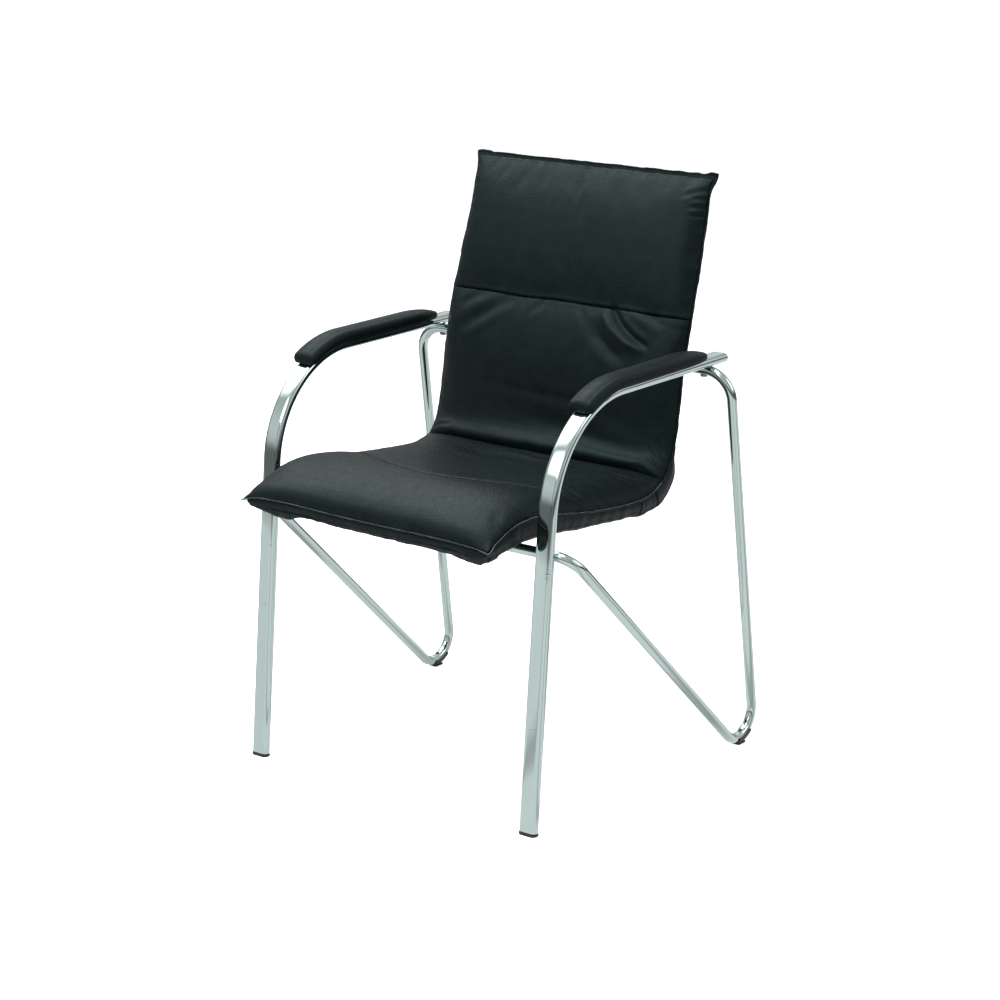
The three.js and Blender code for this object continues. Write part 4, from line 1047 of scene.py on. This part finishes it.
def cover_stations():
    """Places of the rings: share of the profile, how far drawn in, and -1 or 1 on the front or top face."""
    front = [(0.0, inset, -1) for inset in (0.92, 0.75, 0.55, 0.38, 0.24, 0.13, 0.06, 0.02)]
    close = [place + beside for place in SIDE_SEAMS for beside in (-2, -1.2, -0.6, 0, 0.6, 1.2, 2)]
    even = np.arange(0, profile_length + 0.1, COVER_STEP)
    clear = [along for along in even if min(abs(along - place) for place in close) > 1.0]
    middle = [(along / profile_length, 0.0, 0) for along in sorted(clear + close)]
    top = [(1.0, inset, 1) for inset in (0.05, 0.13, 0.24, 0.38, 0.55, 0.75, 0.92)]
    return front + middle + top


def placed_ring(share, inset, end):
    """A ring of the cover in space, and its places across, down from the seam and along the profile."""
    across, down = cover_ring(share)
    half, depth = float(half_at(share)), float(sample(profile_depths, share))
    round_off = rounded_off(min(share, 1 - share) * profile_length, COVER_ROUND)
    sunk = np.clip(down / depth, 0, 1)
    if end <= 0:
        down = down + corner_sag(share * profile_length, across) * sunk**1.5
    across = across - np.sign(across) * round_off * sunk**0.7 * 0.8 * (np.abs(across) / half) ** 8
    middle = depth / 2
    shrink = (half - inset * depth / 2) / half
    across, down = across * shrink, middle + (down - middle) * (1 - inset)
    near = sum(np.exp(-(((across - sign * POUCH_AT) / 24) ** 2)) for sign in (1, -1))
    pouch = 4.2 + 2.4 * near if end < 0 else 2.0
    ahead = end * pouch * (1 - (1 - inset) ** 2) ** (0.24 if end < 0 else 0.5)
    lift = front_bow(share, across) * (1 - np.clip(down / depth, 0, 1))
    along = np.full(len(across), share * profile_length + end * inset * 9)
    return body_points(share, across, lift - down, ahead), (across, down, along)


def cover_wrinkles(across, down, along, ends):
    """How far each point of the cover is pushed out, by waves, by puckers and by the seams at the sides."""
    side = np.abs(across) > half_at(np.clip(along / profile_length, 0, 1)) - 12
    between_faces = ends == 0
    fade = np.clip((down - SEAM_SPACE) / 4, 0, 1)
    shifted = along + np.where(across > 0, 0, 400)
    wrinkle = 0.5 * lattice(shifted, down, 14, 60, 41) + 0.3 * lattice(shifted, down, 7, 30, 42)
    seat_side = np.where(along < 520, 1.0, 0.45)
    push = np.where(side & between_faces, wrinkle * seat_side * fade, 0)
    puckered = 0.9 * lattice(across, down, 13, 40, 43) + 0.5 * lattice(across, down, 7, 20, 44)
    push = push + ends * fade * puckered
    under = (~side) & between_faces & (down > 8)
    push = push + np.where(under, 0.35 * lattice(across, along, 40, 60, 45) - 0.1, 0)
    for place in SIDE_SEAMS:
        groove = np.exp(-(((along - place) / 1.3) ** 2))
        lip = 0.5 * np.exp(-((np.abs(along - place) / 3 - 1) ** 2) * 3)
        push = push + np.where(side, (lip - 2.6 * groove) * fade, 0)
    return push


def cover_rings():
    """Rings from the middle of the bulging front face to the middle of the top one."""
    stations = cover_stations()
    rings, places = zip(*[placed_ring(*station) for station in stations])
    rings, places = np.array(rings), np.array(places)
    normals = outward(rings)
    if normals[len(rings) // 2, 3, 0] < 0:
        normals = -normals
    ends = np.array([abs(end) for _, _, end in stations])[:, None]
    push = cover_wrinkles(places[:, 0], places[:, 1], places[:, 2], ends)
    return rings + normals * push[..., None]


cover = skin("shell cover", cover_rings(), hide, sharp=60)
ride(cover, "shell_cover")

# Seam flange

# Reach of the lip at the corners, and how far along it that reach fades
EARS = {(-1, -1): (9.5, 9), (1, -1): (8.5, 8), (-1, 1): (8.5, 7), (1, 1): (13.5, 10)}
LIP_REACH = {"front": 2.0, "side": 3.8, "top": 7.6}
LIP_LEAN = {"front": 1.1, "side": 0.3, "top": 1.6}
LIP_STEP = 2.4
LIP_HALF = 0.9
GROOVE = 0.42

# A place round the seam: share of the profile, across from -1 to 1, the lip's way outwards and its reach,
# the length up to it, how much the lip crumples, its lean, and how far it drops along the profile
Stop = namedtuple("Stop", "share x heading reach run crumple lean drop")


def side_stop(part, sign):
    """Share, place across, gap to the nearest corner, that corner, and the ways out and past the corner."""
    share, x = (part, 1.0) if sign > 0 else (1 - part, -1.0)
    corner = (int(x), 1 if share > 0.5 else -1)
    return share, x, min(share, 1 - share) * profile_length, corner, [x, 0.0], [0.0, corner[1]]


def end_stop(part, sign):
    """The same as side_stop, along the front or the top."""
    share, x = (0.0, -1 + 2 * part) if sign < 0 else (1.0, 1 - 2 * part)
    corner = (1 if x > 0 else -1, sign)
    return share, x, (1 - abs(x)) * BODY_HALF, corner, [0.0, sign], [corner[0], 0.0]


def lip_stops():
    stops = []
    run = 0.0
    for where, sign in (("front", -1), ("side", 1), ("top", 1), ("side", -1)):
        find, long = (side_stop, profile_length) if where == "side" else (end_stop, 2 * BODY_HALF)
        drop = TOP_DROP / profile_length if where == "top" else 0.0
        count = round(long / LIP_STEP)
        for place in range(count):
            share, x, gap, corner, out, past = find(place / count, sign)
            heading = np.array(out) + np.array(past) * math.exp(-((gap / 7) ** 2))
            heading /= np.linalg.norm(heading)
            ear, fade = EARS[corner]
            reach = LIP_REACH[where] + (ear - LIP_REACH[where]) * math.exp(-((gap / fade) ** 1.5))
            if where == "top" and corner[0] < 0:
                reach += 1.8 / (1 + math.exp(min(50, (gap - 26) / 1.0)))
            crumple = 1 + (2.2 if corner == (1, 1) else 0.8) * math.exp(-((gap / 30) ** 2))
            stops.append(Stop(share, x, heading, reach, run, crumple, LIP_LEAN[where], drop))
            run += long / count
    return stops


def crumpled(stops):
    """The stops with waves in the lip's reach and lean."""
    run, crumple, reach, lean = (
        np.array([getattr(stop, key) for stop in stops]) for key in ("run", "crumple", "reach", "lean")
    )
    still = 0 * run
    reach = reach + 0.45 * lattice(run, still, 15, 50, 61) + 0.25 * crumple * lattice(run, still, 7, 50, 62)
    sway = 0.7 * crumple * lattice(run, still, 17, 50, 63) + 0.35 * lattice(run, still, 9, 50, 64)
    return [stop._replace(reach=r, lean=s + stop.lean) for stop, r, s in zip(stops, reach, sway)]


def lip_point(stop, away, out):
    """A point on the lip: away from the seam line and out from its middle surface."""
    place = stop.share - stop.drop
    across = stop.x * half_at(place)
    base = body_points(place, across, front_bow(place, across))
    normal = body_points(place, across, 1 + front_bow(place, across)) - base
    slope = np.array([0, sample(profile_slopes[:, 0], place), sample(profile_slopes[:, 1], place)])
    heading = np.array([1.0, 0, 0]) * stop.heading[0] + slope * stop.heading[1]
    bend = stop.lean * (max(0.0, away) / stop.reach) ** 1.5
    return base + heading * away + normal * (out + bend)


def flange_rings(stops):
    rings = []
    half = LIP_HALF
    for stop in stops:
        reach, seam = stop.reach, stop.reach * GROOVE
        face = [(-FLANGE_INSET, half), (0.4, half), (seam - 0.6, half), (seam, half - 0.3)]
        face += [(seam + 0.6, half), (reach - 1.0, half), (reach - 0.3, half * 0.75), (reach, half * 0.25)]
        section = face + [(a, -b) for a, b in face[::-1]]
        rings.append([lip_point(stop, a, b) for a, b in section])
    return np.array(rings)


def stitches(points, normals, pitch, long, thick):
    """Small thread loops laid end to end along a line of points."""
    lengths = path_lengths(points)
    parts = []
    turn = np.arange(6) / 6 * 2 * math.pi
    for start in np.arange(0, lengths[-1] - long, pitch):
        at = start + long * np.array([0, 0.12, 0.5, 0.88, 1])
        line = np.stack([np.interp(at, lengths, points[:, k]) for k in range(3)], -1)
        up = np.array([np.interp(start + long / 2, lengths, normals[:, k]) for k in range(3)])
        heading = line[-1] - line[0]
        heading /= np.linalg.norm(heading)
        up = up - heading * (up @ heading)
        up /= np.linalg.norm(up)
        side = np.cross(heading, up)
        sink = np.array([-0.6, 0.05, 0.15, 0.05, -0.6]) * thick
        widths = np.array([0.3, 0.9, 1, 0.9, 0.3]) * thick
        rings = [
            point + up * low + (np.cos(turn)[:, None] * side + np.sin(turn)[:, None] * up) * width
            for point, low, width in zip(line, sink, widths)
        ]
        parts.append((rings, False))
    return parts


def lip_stitches(stops, low, high):
    """Stitches on both faces of the lip, where the share along the seam lies between low and high."""
    wanted = np.array([low <= stop.share <= high for stop in stops])
    first = int(np.argmax(wanted & ~np.roll(wanted, 1)))
    order = [stop for stop in stops[first:] + stops[:first] if low <= stop.share <= high]
    parts = []
    for face in (1, -1):
        line, normals = [], []
        for stop in order:
            seam = stop.reach * GROOVE
            line.append(lip_point(stop, seam, face * (LIP_HALF - 0.1)))
            normals.append(line[-1] - lip_point(stop, seam, 0))
        parts += stitches(np.array(line), np.array(normals), 4.6, 3.7, 0.5)
    return parts


lip = crumpled(lip_stops())
flange = skin("seam flange", flange_rings(lip), hide, endless=True, sharp=50)
ride(flange, "seam_flange")
# The seat lip's stitches get the light grey thread, a painted highlight along the seat's front seam. The back
# lip's stitches stay dark.
ride(merged("seat lip stitches", lip_stitches(lip, -1, CREASE), highlight_painted_thread))
ride(merged("back lip stitches", lip_stitches(lip, CREASE, 2), thread))


# Foam under the seat


def foam_rings():
    low_share, high_share = 12 / profile_length, back_from + (1 - back_from) * FOAM_END
    rings = []
    for share in np.linspace(low_share, high_share, 60):
        half = float(half_at(share))
        low = COVER_SKIN + FIT + BOARD + FIT - float(sample(profile_depths, share)) + 0.4
        bottom = half - COVER_TUCK - COVER_WALL - FIT - 0.5
        top = half - COVER_WALL - FLANGE_INSET - FIT - 0.5
        high = SEAM_SPACE - FIT - 0.3
        corners = [(top, high), (bottom, low), (-bottom, low), (-top, high)]
        rings.append([body_points(share, x, out) for x, out in corners])
    return np.array(rings)


seat_foam = skin("seat foam", foam_rings(), foam, sharp=40)
ride(seat_foam, "seat_foam")

# Arm pads

PAD_ROUND = 7.5
PAD_DOME = 1.2
PAD_FOOT_INSET = 0.5
RECESS_FRONT = 9.5
RECESS_REAR = 23.7


def arm_place(distance):
    """A point on the arm's centre line and the way up from it. Places ahead of 0 lie on the bend."""
    angle = max(0.0, -distance / ARM_BEND)
    reach = distance if distance > 0 else -ARM_BEND * math.sin(angle)
    point = np.array([0, arm_start + reach, arm_centre - ARM_BEND * (1 - math.cos(angle))])
    return point, np.array([0, -math.sin(angle), math.cos(angle)])


def pad_half_and_height(distance):
    tail = min(1.0, max(0.0, (distance - pad_on_arm + PAD_TAIL) / PAD_TAIL))
    half = max(3.0, PAD_WIDTH / 2 * math.sqrt(max(0.0, 1 - tail**1.8)))
    return half, PAD_HEIGHT * (1 - 0.66 * tail**2.1)


def pad_section(half, height, notch):
    """The pad's outline, from the recess for its base round the crowned top."""
    low = OVAL_THICKNESS / 2 + FIT
    base = min(BASE_WIDTH / 2 + FIT, half - 0.5)
    corner = min(10.0, height * 0.6, half * 0.7)
    foot = half - PAD_FOOT_INSET
    points = [(-foot, low), (-base, low), (-base, low + notch), (base, low + notch), (base, low), (foot, low)]
    turn = np.linspace(0, math.pi / 2, 9)
    crown = 0.12 * height
    shoulder = height - corner - crown
    points += [(half, low + shoulder * t) for t in (0.12, 0.35, 0.7)]
    for angle in turn:
        points.append((half - corner + corner * math.cos(angle), low + shoulder + corner * math.sin(angle)))
    for x in np.linspace(1, -1, 17)[1:-1]:
        flat = half - corner
        points.append((flat * x, low + shoulder + corner + crown * (1 - x * x)))
    for angle in turn[::-1]:
        points.append((-half + corner - corner * math.cos(angle), low + shoulder + corner * math.sin(angle)))
    points += [(-half, low + shoulder * t) for t in (0.7, 0.35, 0.12)]
    return points


def pad_rings():
    """Rings along the pad. Its front closes in a shallow dome, and its tail thins out to a round tongue."""
    front = -PAD_FRONT + PAD_DOME
    places = [front + PAD_ROUND * (1 - math.cos(a)) for a in np.linspace(0, math.pi / 2, 10)]
    places += list(np.arange(front + PAD_ROUND + 2, pad_on_arm - PAD_TAIL, 3.0))
    places += [pad_on_arm - PAD_TAIL * (1 - math.sin(a)) for a in np.linspace(0, math.pi / 2, 24)]
    rings = []
    for distance in places:
        point, way = arm_place(distance)
        half, height = pad_half_and_height(distance)
        loss = rounded_off(distance - front, PAD_ROUND)
        in_recess = -PAD_FRONT + RECESS_FRONT < distance < pad_on_arm - RECESS_REAR
        section = pad_section(half - 0.6 * loss, height - loss, BASE_THICKNESS + FIT if in_recess else 0.0)
        rings.append([point + np.array([x, 0, 0]) + way * out for x, out in section])
    rings = np.array(rings)
    point, way = arm_place(places[0])
    middle = point + way * (OVAL_THICKNESS / 2 + FIT + 4.5)
    forward = np.cross([1.0, 0, 0], way)
    nose = []
    for size in (0.03, 0.3, 0.6, 0.82, 0.95):
        nose.append(middle + (rings[0] - middle) * size + forward * PAD_DOME * math.sqrt(1 - size**2))
    return np.concatenate([nose, rings])


for side, sign in SIDES.items():
    pad = skin(f"arm pad {side}", at_side(pad_rings(), sign), pad_hide, sharp=60)
    ride(pad, f"arm_pad_{side}")

# Screws, bolts and pins

# Each kind: radius of its shank, radius and height of its head, and half width of its socket
BOLT = (3, 6, 3.5, 1.9)
PAD_SCREW = (2, 4, 2.4, 1.2)
PIN = (2.4, 3.6, 1.2, 0.9)


def turned_along(origin, direction, profile, count=32):
    """Rings around an axis. Each row of the profile: distance along it, radius, and flats, or 0 for round."""
    direction = np.asarray(direction, dtype=float) / np.linalg.norm(direction)
    side = np.cross(direction, [1.0, 0.0, 0.0])
    if np.linalg.norm(side) < 0.3:
        side = np.cross(direction, [0.0, 1.0, 0.0])
    side /= np.linalg.norm(side)
    other = np.cross(direction, side)
    turn = np.arange(count) / count * 2 * math.pi
    rings = []
    for along, radius, flats in profile:
        reach = np.full(count, float(radius))
        if flats:
            part = 2 * math.pi / flats
            reach = radius / np.cos((turn % part) - part / 2)
        spokes = np.cos(turn)[:, None] * side + np.sin(turn)[:, None] * other
        rings.append(np.asarray(origin) + direction * along + spokes * reach[:, None])
    return np.array(rings)


def add_screw(name, origin, direction, kind, length, material):
    """A button head screw with a hexagon socket. The head lies below the origin and the shank above it."""
    shank, head_radius, head, socket = kind
    profile = [(-head * 0.35, 0.01, 0), (-head * 0.35, socket, 6)]
    profile += [(-head * 0.97, socket, 6), (-head, socket + 0.25, 6)]
    for angle in (15, 35, 55, 75):
        dome = math.radians(angle)
        along = -head * (0.25 + 0.75 * math.cos(dome))
        profile.append((along, socket + 0.5 + (head_radius - socket - 0.5) * math.sin(dome), 0))
    profile += [(-head * 0.2, head_radius, 0), (-0.15, head_radius, 0), (0, head_radius - 0.15, 0)]
    profile += [(0, shank, 0), (length - 0.6, shank, 0), (length, shank - 0.6, 0)]
    screw = skin(name, turned_along(origin, direction, profile), material, sharp=40)
    return ride(screw, name.replace(" ", "_"))


def nearest_under(y, z, low, high):
    """The way from a tube's middle to the nearest place on the underside, and the distance to it."""

    shares = np.linspace(low, high, 400)
    under = body_points(shares, 0, -sample(profile_depths, shares))
    distance = np.hypot(under[:, 1] - y, under[:, 2] - z)
    best = int(np.argmin(distance))
    direction = under[best] - [0, y, z]
    return direction / np.linalg.norm(direction), distance[best]


seat_way, seat_reach = nearest_under(cross_y, cross_z, 0, CREASE)
back_way, back_reach = nearest_under(crossbar_y, crossbar_z, CREASE, 1)

# What holds the seat and the back: the tube's place, the way and distance to the cover, the screws' place
# across, and the length of the saddles
HOLDS = (
    ("seat", cross_y, cross_z, seat_way, seat_reach, SEAT_SCREW_HALF, SEAT_SADDLE),
    ("back", crossbar_y, crossbar_z, back_way, back_reach, BACK_SCREW_HALF, BACK_SADDLE),
)
PAD_SCREWS = (("front", PAD_SCREW_FRONT), ("rear", pad_on_arm - PAD_SCREW_REAR))

for side, sign in SIDES.items():
    for where, y, z, way, reach, half, _ in HOLDS:
        origin = np.array([sign * half, y, z]) - way * (LOOP_RADIUS + FIT)
        length = LOOP_RADIUS + FIT + reach + COVER_SKIN + FIT + BOARD - 0.6
        add_screw(f"{where} screw {side}", origin, way, BOLT, length, steel)
    x = sign * (ARM_HALF - BOLT_INSET)
    length = 2 * LOOP_RADIUS + FIT + BOLT_GRIP
    behind, below = (x, cross_y + LOOP_RADIUS + FIT, cross_z), (x, crossbar_y, crossbar_z - LOOP_RADIUS - FIT)
    add_screw(f"leg bolt {side}", behind, (0, -1, 0), BOLT, length, steel)
    add_screw(f"arm bolt {side}", below, (0, 0, 1), BOLT, length, steel)
    for where, place in PAD_SCREWS:
        origin = (sign * ARM_HALF, arm_start + place, ARM_TOP - OVAL_THICKNESS - FIT)
        length = FIT + OVAL_THICKNESS + 4.6
        add_screw(f"arm pad screw {side} {where}", origin, (0, 0, 1), PAD_SCREW, length, black_steel)
    point, away = foot_place(foot_frame(sign), (CLIP_REAR - CLIP_FRONT) / 2)
    length = 2 * LOOP_RADIUS + FIT + CLIP_WALL - 1.2
    add_screw(f"rear foot pin {side}", point - away * (LOOP_RADIUS + FIT), away, PIN, length, black_steel)

# Saddles


def saddle_outline(high):
    """The saddle's section around the groove for the tube: beside the tube's middle and up from it."""
    low, groove = LOOP_RADIUS - SADDLE_BITE, LOOP_RADIUS + FIT
    start = math.atan2(low, math.sqrt(groove**2 - low**2))
    arc = [(groove * math.cos(t), groove * math.sin(t)) for t in np.linspace(start, math.pi - start, 17)]
    wide, narrow = SADDLE_HALF, SADDLE_HALF - 1
    left = [(-wide, low), (-wide, high - 1), (-narrow, high)]
    return arc + left + [(-a, b) for a, b in left[::-1]]


def saddle_rings(centre, way, reach, length):
    high = reach - SADDLE_GAP
    other = np.cross(way, [1.0, 0, 0])
    rings = []
    for along, edge in [(-length / 2, 0.6), (-length / 2 + 0.6, 0), (length / 2 - 0.6, 0), (length / 2, 0.6)]:
        ring = []
        for a, b in saddle_outline(high):
            b = min(b, high - edge) if b > LOOP_RADIUS + FIT else b
            a = math.copysign(min(abs(a), SADDLE_HALF - edge), a)
            ring.append(centre + np.array([along, 0, 0]) + other * a + way * b)
        rings.append(ring)
    return rings


for side, sign in SIDES.items():
    for where, y, z, way, reach, half, length in HOLDS:
        rings = saddle_rings(np.array([sign * half, y, z]), way, reach, length)
        saddle = skin(f"{where} saddle {side}", rings, plastic, sharp=35)
        ride(saddle, f"{where}_saddle_{side}")

# Materials of the CAD nodes that still show

finishes = {"plywood_shell": wood, "loop_joint_sleeve": steel}

for side in SIDES:
    finishes[f"arm_pad_base_{side}"] = plastic
    for name in ("seat_tee_nut", "back_tee_nut", "leg_bolt_insert", "arm_bolt_insert"):
        finishes[f"{name}_{side}"] = steel
for node, material in finishes.items():
    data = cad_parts[node].data
    data.materials.clear()
    data.materials.append(material)


# Floor, light and camera

# Grey levels by azimuth in degrees, counted from +X towards +Y, as polished metal mirrors them
WORLD_BANDS = [
    (-180, 0.95), (-172, 0.35), (-158, 0.3), (-150, 0.95), (-118, 1.0), (-104, 0.9), (-97, 0.35), (-92, 0.3),
    (-86, 0.85), (-60, 0.8), (-46, 0.95), (-36, 0.9), (-31, 0.3), (-25, 0.3), (-19, 0.95), (10, 1.0),
    (18, 0.15), (36, 0.1), (46, 0.95), (70, 1.0), (84, 0.35), (90, 0.95), (105, 1.0), (112, 0.45),
    (118, 1.0), (140, 1.0), (150, 0.5), (158, 0.95), (180, 0.95),
]
FLOOR_BANDS = [
    (-180, 0.9), (-172, 0.5), (-160, 0.5), (-150, 0.95), (-131, 0.9), (-123, 1.0), (-112, 0.93),
    (-104, 0.96), (-97, 0.6), (-92, 0.6), (-84, 0.95), (-60, 0.98), (-36, 0.96), (-31, 0.65), (-25, 0.65),
    (-19, 0.98), (12, 0.98), (20, 0.6), (30, 0.5), (38, 0.95), (84, 0.95), (112, 0.95), (122, 0.62),
    (140, 0.62), (150, 0.9), (180, 0.9),
]

# Grey levels from the mirrored world's horizon, at 0, to straight up, at 1
CEILING = [
    (0, 0.2), (0.05, 0.22), (0.1, 0.4), (0.16, 0.68), (0.22, 0.78), (0.3, 0.86), (0.45, 0.8), (0.6, 0.66),
    (0.7, 0.7), (0.8, 0.95), (1, 1.0),
]

# The mirrored floor's glow, full up to 2.9 m and faint from 3.9 m on
DUSK = {"From Min": 2.9, "From Max": 3.9, "To Min": 1.0, "To Max": 0.2}

# How a lamp's light fades towards its edges
SOFT_EDGE = [(0, 0), (0.32, 1.35), (0.68, 1.35), (1, 0)]
FLOOR_GREY = (0.8, 0.8, 0.8, 1)
AMBIENT = 0.27


def bands(tree, vector, table):
    """Grey levels around the vertical axis, and the vector's height."""
    apart = add_node(tree, "ShaderNodeSeparateXYZ", {0: vector}).outputs
    turn = add_node(tree, "ShaderNodeMath", {0: apart["Y"], 1: apart["X"]}, operation="ARCTAN2")
    inputs = {"Value": turn.outputs[0], "From Min": -math.pi, "From Max": math.pi}
    share = add_node(tree, "ShaderNodeMapRange", inputs).outputs["Result"]
    stops = [((degrees + 180) / 360, level) for degrees, level in table]
    return add_ramp(tree, share, greys(stops)), apart["Z"]


def direct_ray(tree, rays):
    """1 for rays from the camera, also where they passed through something clear."""
    inputs = {0: rays["Is Camera Ray"], 1: rays["Is Transmission Ray"]}
    return add_node(tree, "ShaderNodeMath", inputs, operation="MAXIMUM").outputs[0]


def mixed(tree, share, first, second):
    return add_node(tree, "ShaderNodeMixShader", {0: share, 1: first, 2: second}).outputs[0]


def stage_material():
    """A pale floor that shows white to the camera and grey bands to mirrors."""
    material = bpy.data.materials.new("floor")
    material.use_nodes = True
    tree = material.node_tree
    tree.nodes.clear()
    output = add_node(tree, "ShaderNodeOutputMaterial")
    rays = add_node(tree, "ShaderNodeLightPath").outputs
    pale = add_node(tree, "ShaderNodeBsdfDiffuse", {"Color": FLOOR_GREY}).outputs[0]
    glow = add_node(tree, "ShaderNodeEmission", {"Strength": 0.8}).outputs[0]
    seen = add_node(tree, "ShaderNodeAddShader", {0: glow, 1: pale}).outputs[0]
    place = add_node(tree, "ShaderNodeTexCoord").outputs["Object"]
    colour, _ = bands(tree, place, FLOOR_BANDS)
    away = add_node(tree, "ShaderNodeVectorMath", {0: place}, operation="LENGTH").outputs["Value"]
    dusk = add_node(tree, "ShaderNodeMapRange", {"Value": away, **DUSK}).outputs["Result"]
    mirrored = add_node(tree, "ShaderNodeEmission", {"Color": colour, "Strength": dusk}).outputs[0]
    shown = mixed(tree, direct_ray(tree, rays), pale, seen)
    tree.links.new(mixed(tree, rays["Is Glossy Ray"], shown, mirrored), output.inputs["Surface"])
    return material


bpy.ops.mesh.primitive_plane_add(size=60, location=(0, 0, 0))
floor = bpy.context.object
floor.name = "floor"
floor.data.materials.append(stage_material())


def light_world():
    """An even world for light, plain white to the camera, and grey bands to mirrors."""
    world = bpy.data.worlds.new("studio")
    bpy.context.scene.world = world
    world.use_nodes = True
    tree = world.node_tree
    tree.nodes.clear()
    output = add_node(tree, "ShaderNodeOutputWorld")
    rays = add_node(tree, "ShaderNodeLightPath").outputs
    ambient = add_node(tree, "ShaderNodeBackground", {"Color": WHITE, "Strength": AMBIENT}).outputs[0]
    white = add_node(tree, "ShaderNodeBackground", {"Color": WHITE, "Strength": 1}).outputs[0]
    place = add_node(tree, "ShaderNodeTexCoord").outputs["Generated"]
    colour, height = bands(tree, place, WORLD_BANDS)
    inputs = {"Factor": 1, "A": colour, "B": add_ramp(tree, height, greys(CEILING))}
    both = add_node(tree, "ShaderNodeMix", inputs, data_type="RGBA", blend_type="MULTIPLY").outputs["Result"]
    mirror = add_node(tree, "ShaderNodeBackground", {"Color": both, "Strength": 1}).outputs[0]
    lit = mixed(tree, rays["Is Glossy Ray"], ambient, mirror)
    tree.links.new(mixed(tree, direct_ray(tree, rays), lit, white), output.inputs["Surface"])


def softbox(name, place, target, size, power, mirrored=True):
    """A rectangular lamp that fades towards its edges, and shows in mirrors unless told otherwise."""
    lamp = bpy.data.lights.new(name, "AREA")
    lamp.shape = "RECTANGLE"
    lamp.size, lamp.size_y = size
    lamp.energy = power
    lamp.use_nodes = True
    tree = lamp.node_tree
    geometry = add_node(tree, "ShaderNodeNewGeometry").outputs
    apart = add_node(tree, "ShaderNodeSeparateXYZ", {0: geometry["Parametric"]}).outputs
    across, along = (add_ramp(tree, apart[axis], greys(SOFT_EDGE), "EASE") for axis in ("X", "Y"))
    both = add_node(tree, "ShaderNodeMath", {0: across, 1: along}, operation="MULTIPLY")
    tree.links.new(both.outputs[0], tree.nodes["Emission"].inputs["Strength"])
    holder = bpy.data.objects.new(name, lamp)
    bpy.context.scene.collection.objects.link(holder)
    holder.location = place
    holder.rotation_euler = (Vector(target) - Vector(place)).to_track_quat("-Z", "Y").to_euler()
    holder.visible_glossy = mirrored


light_world()
softbox("key", (-2.06, 0.45, 3.6), (0, 0, 0.5), (5.2, 3.4), 182)
softbox("front", (-2.2, -2.75, 1.95), (0, 0, 0.5), (2.6, 2.2), 19, mirrored=False)
softbox("upper", (-0.65, -2.9, 2.95), (0, 0, 0.6), (4.4, 1.8), 82)
softbox("top", (0.2, -0.4, 3.3), (0, 0, 0.5), (2.2, 2.2), 56)
softbox("rim", (2.6, 1.4, 2.2), (0, 0, 0.5), (2.8, 2.8), 26)

AZIMUTH, ELEVATION = math.radians(37.233), math.radians(15.699)
LENS, SENSOR = 91.216, 36
camera_data = bpy.data.cameras.new("camera")
camera_data.lens = LENS
camera_data.sensor_width = SENSOR
camera_data.clip_start, camera_data.clip_end = 0.1, 100
camera = bpy.data.objects.new("camera", camera_data)
bpy.context.scene.collection.objects.link(camera)
camera.location = (2.3202, -3.0188, 1.4811)
level = math.cos(ELEVATION)
forward = Vector((-math.sin(AZIMUTH) * level, math.cos(AZIMUTH) * level, -math.sin(ELEVATION)))

camera.rotation_mode = "QUATERNION"
camera.rotation_quaternion = forward.to_track_quat("-Z", "Y")
bpy.context.scene.camera = camera
bpy.context.scene.view_settings.view_transform = "Standard"
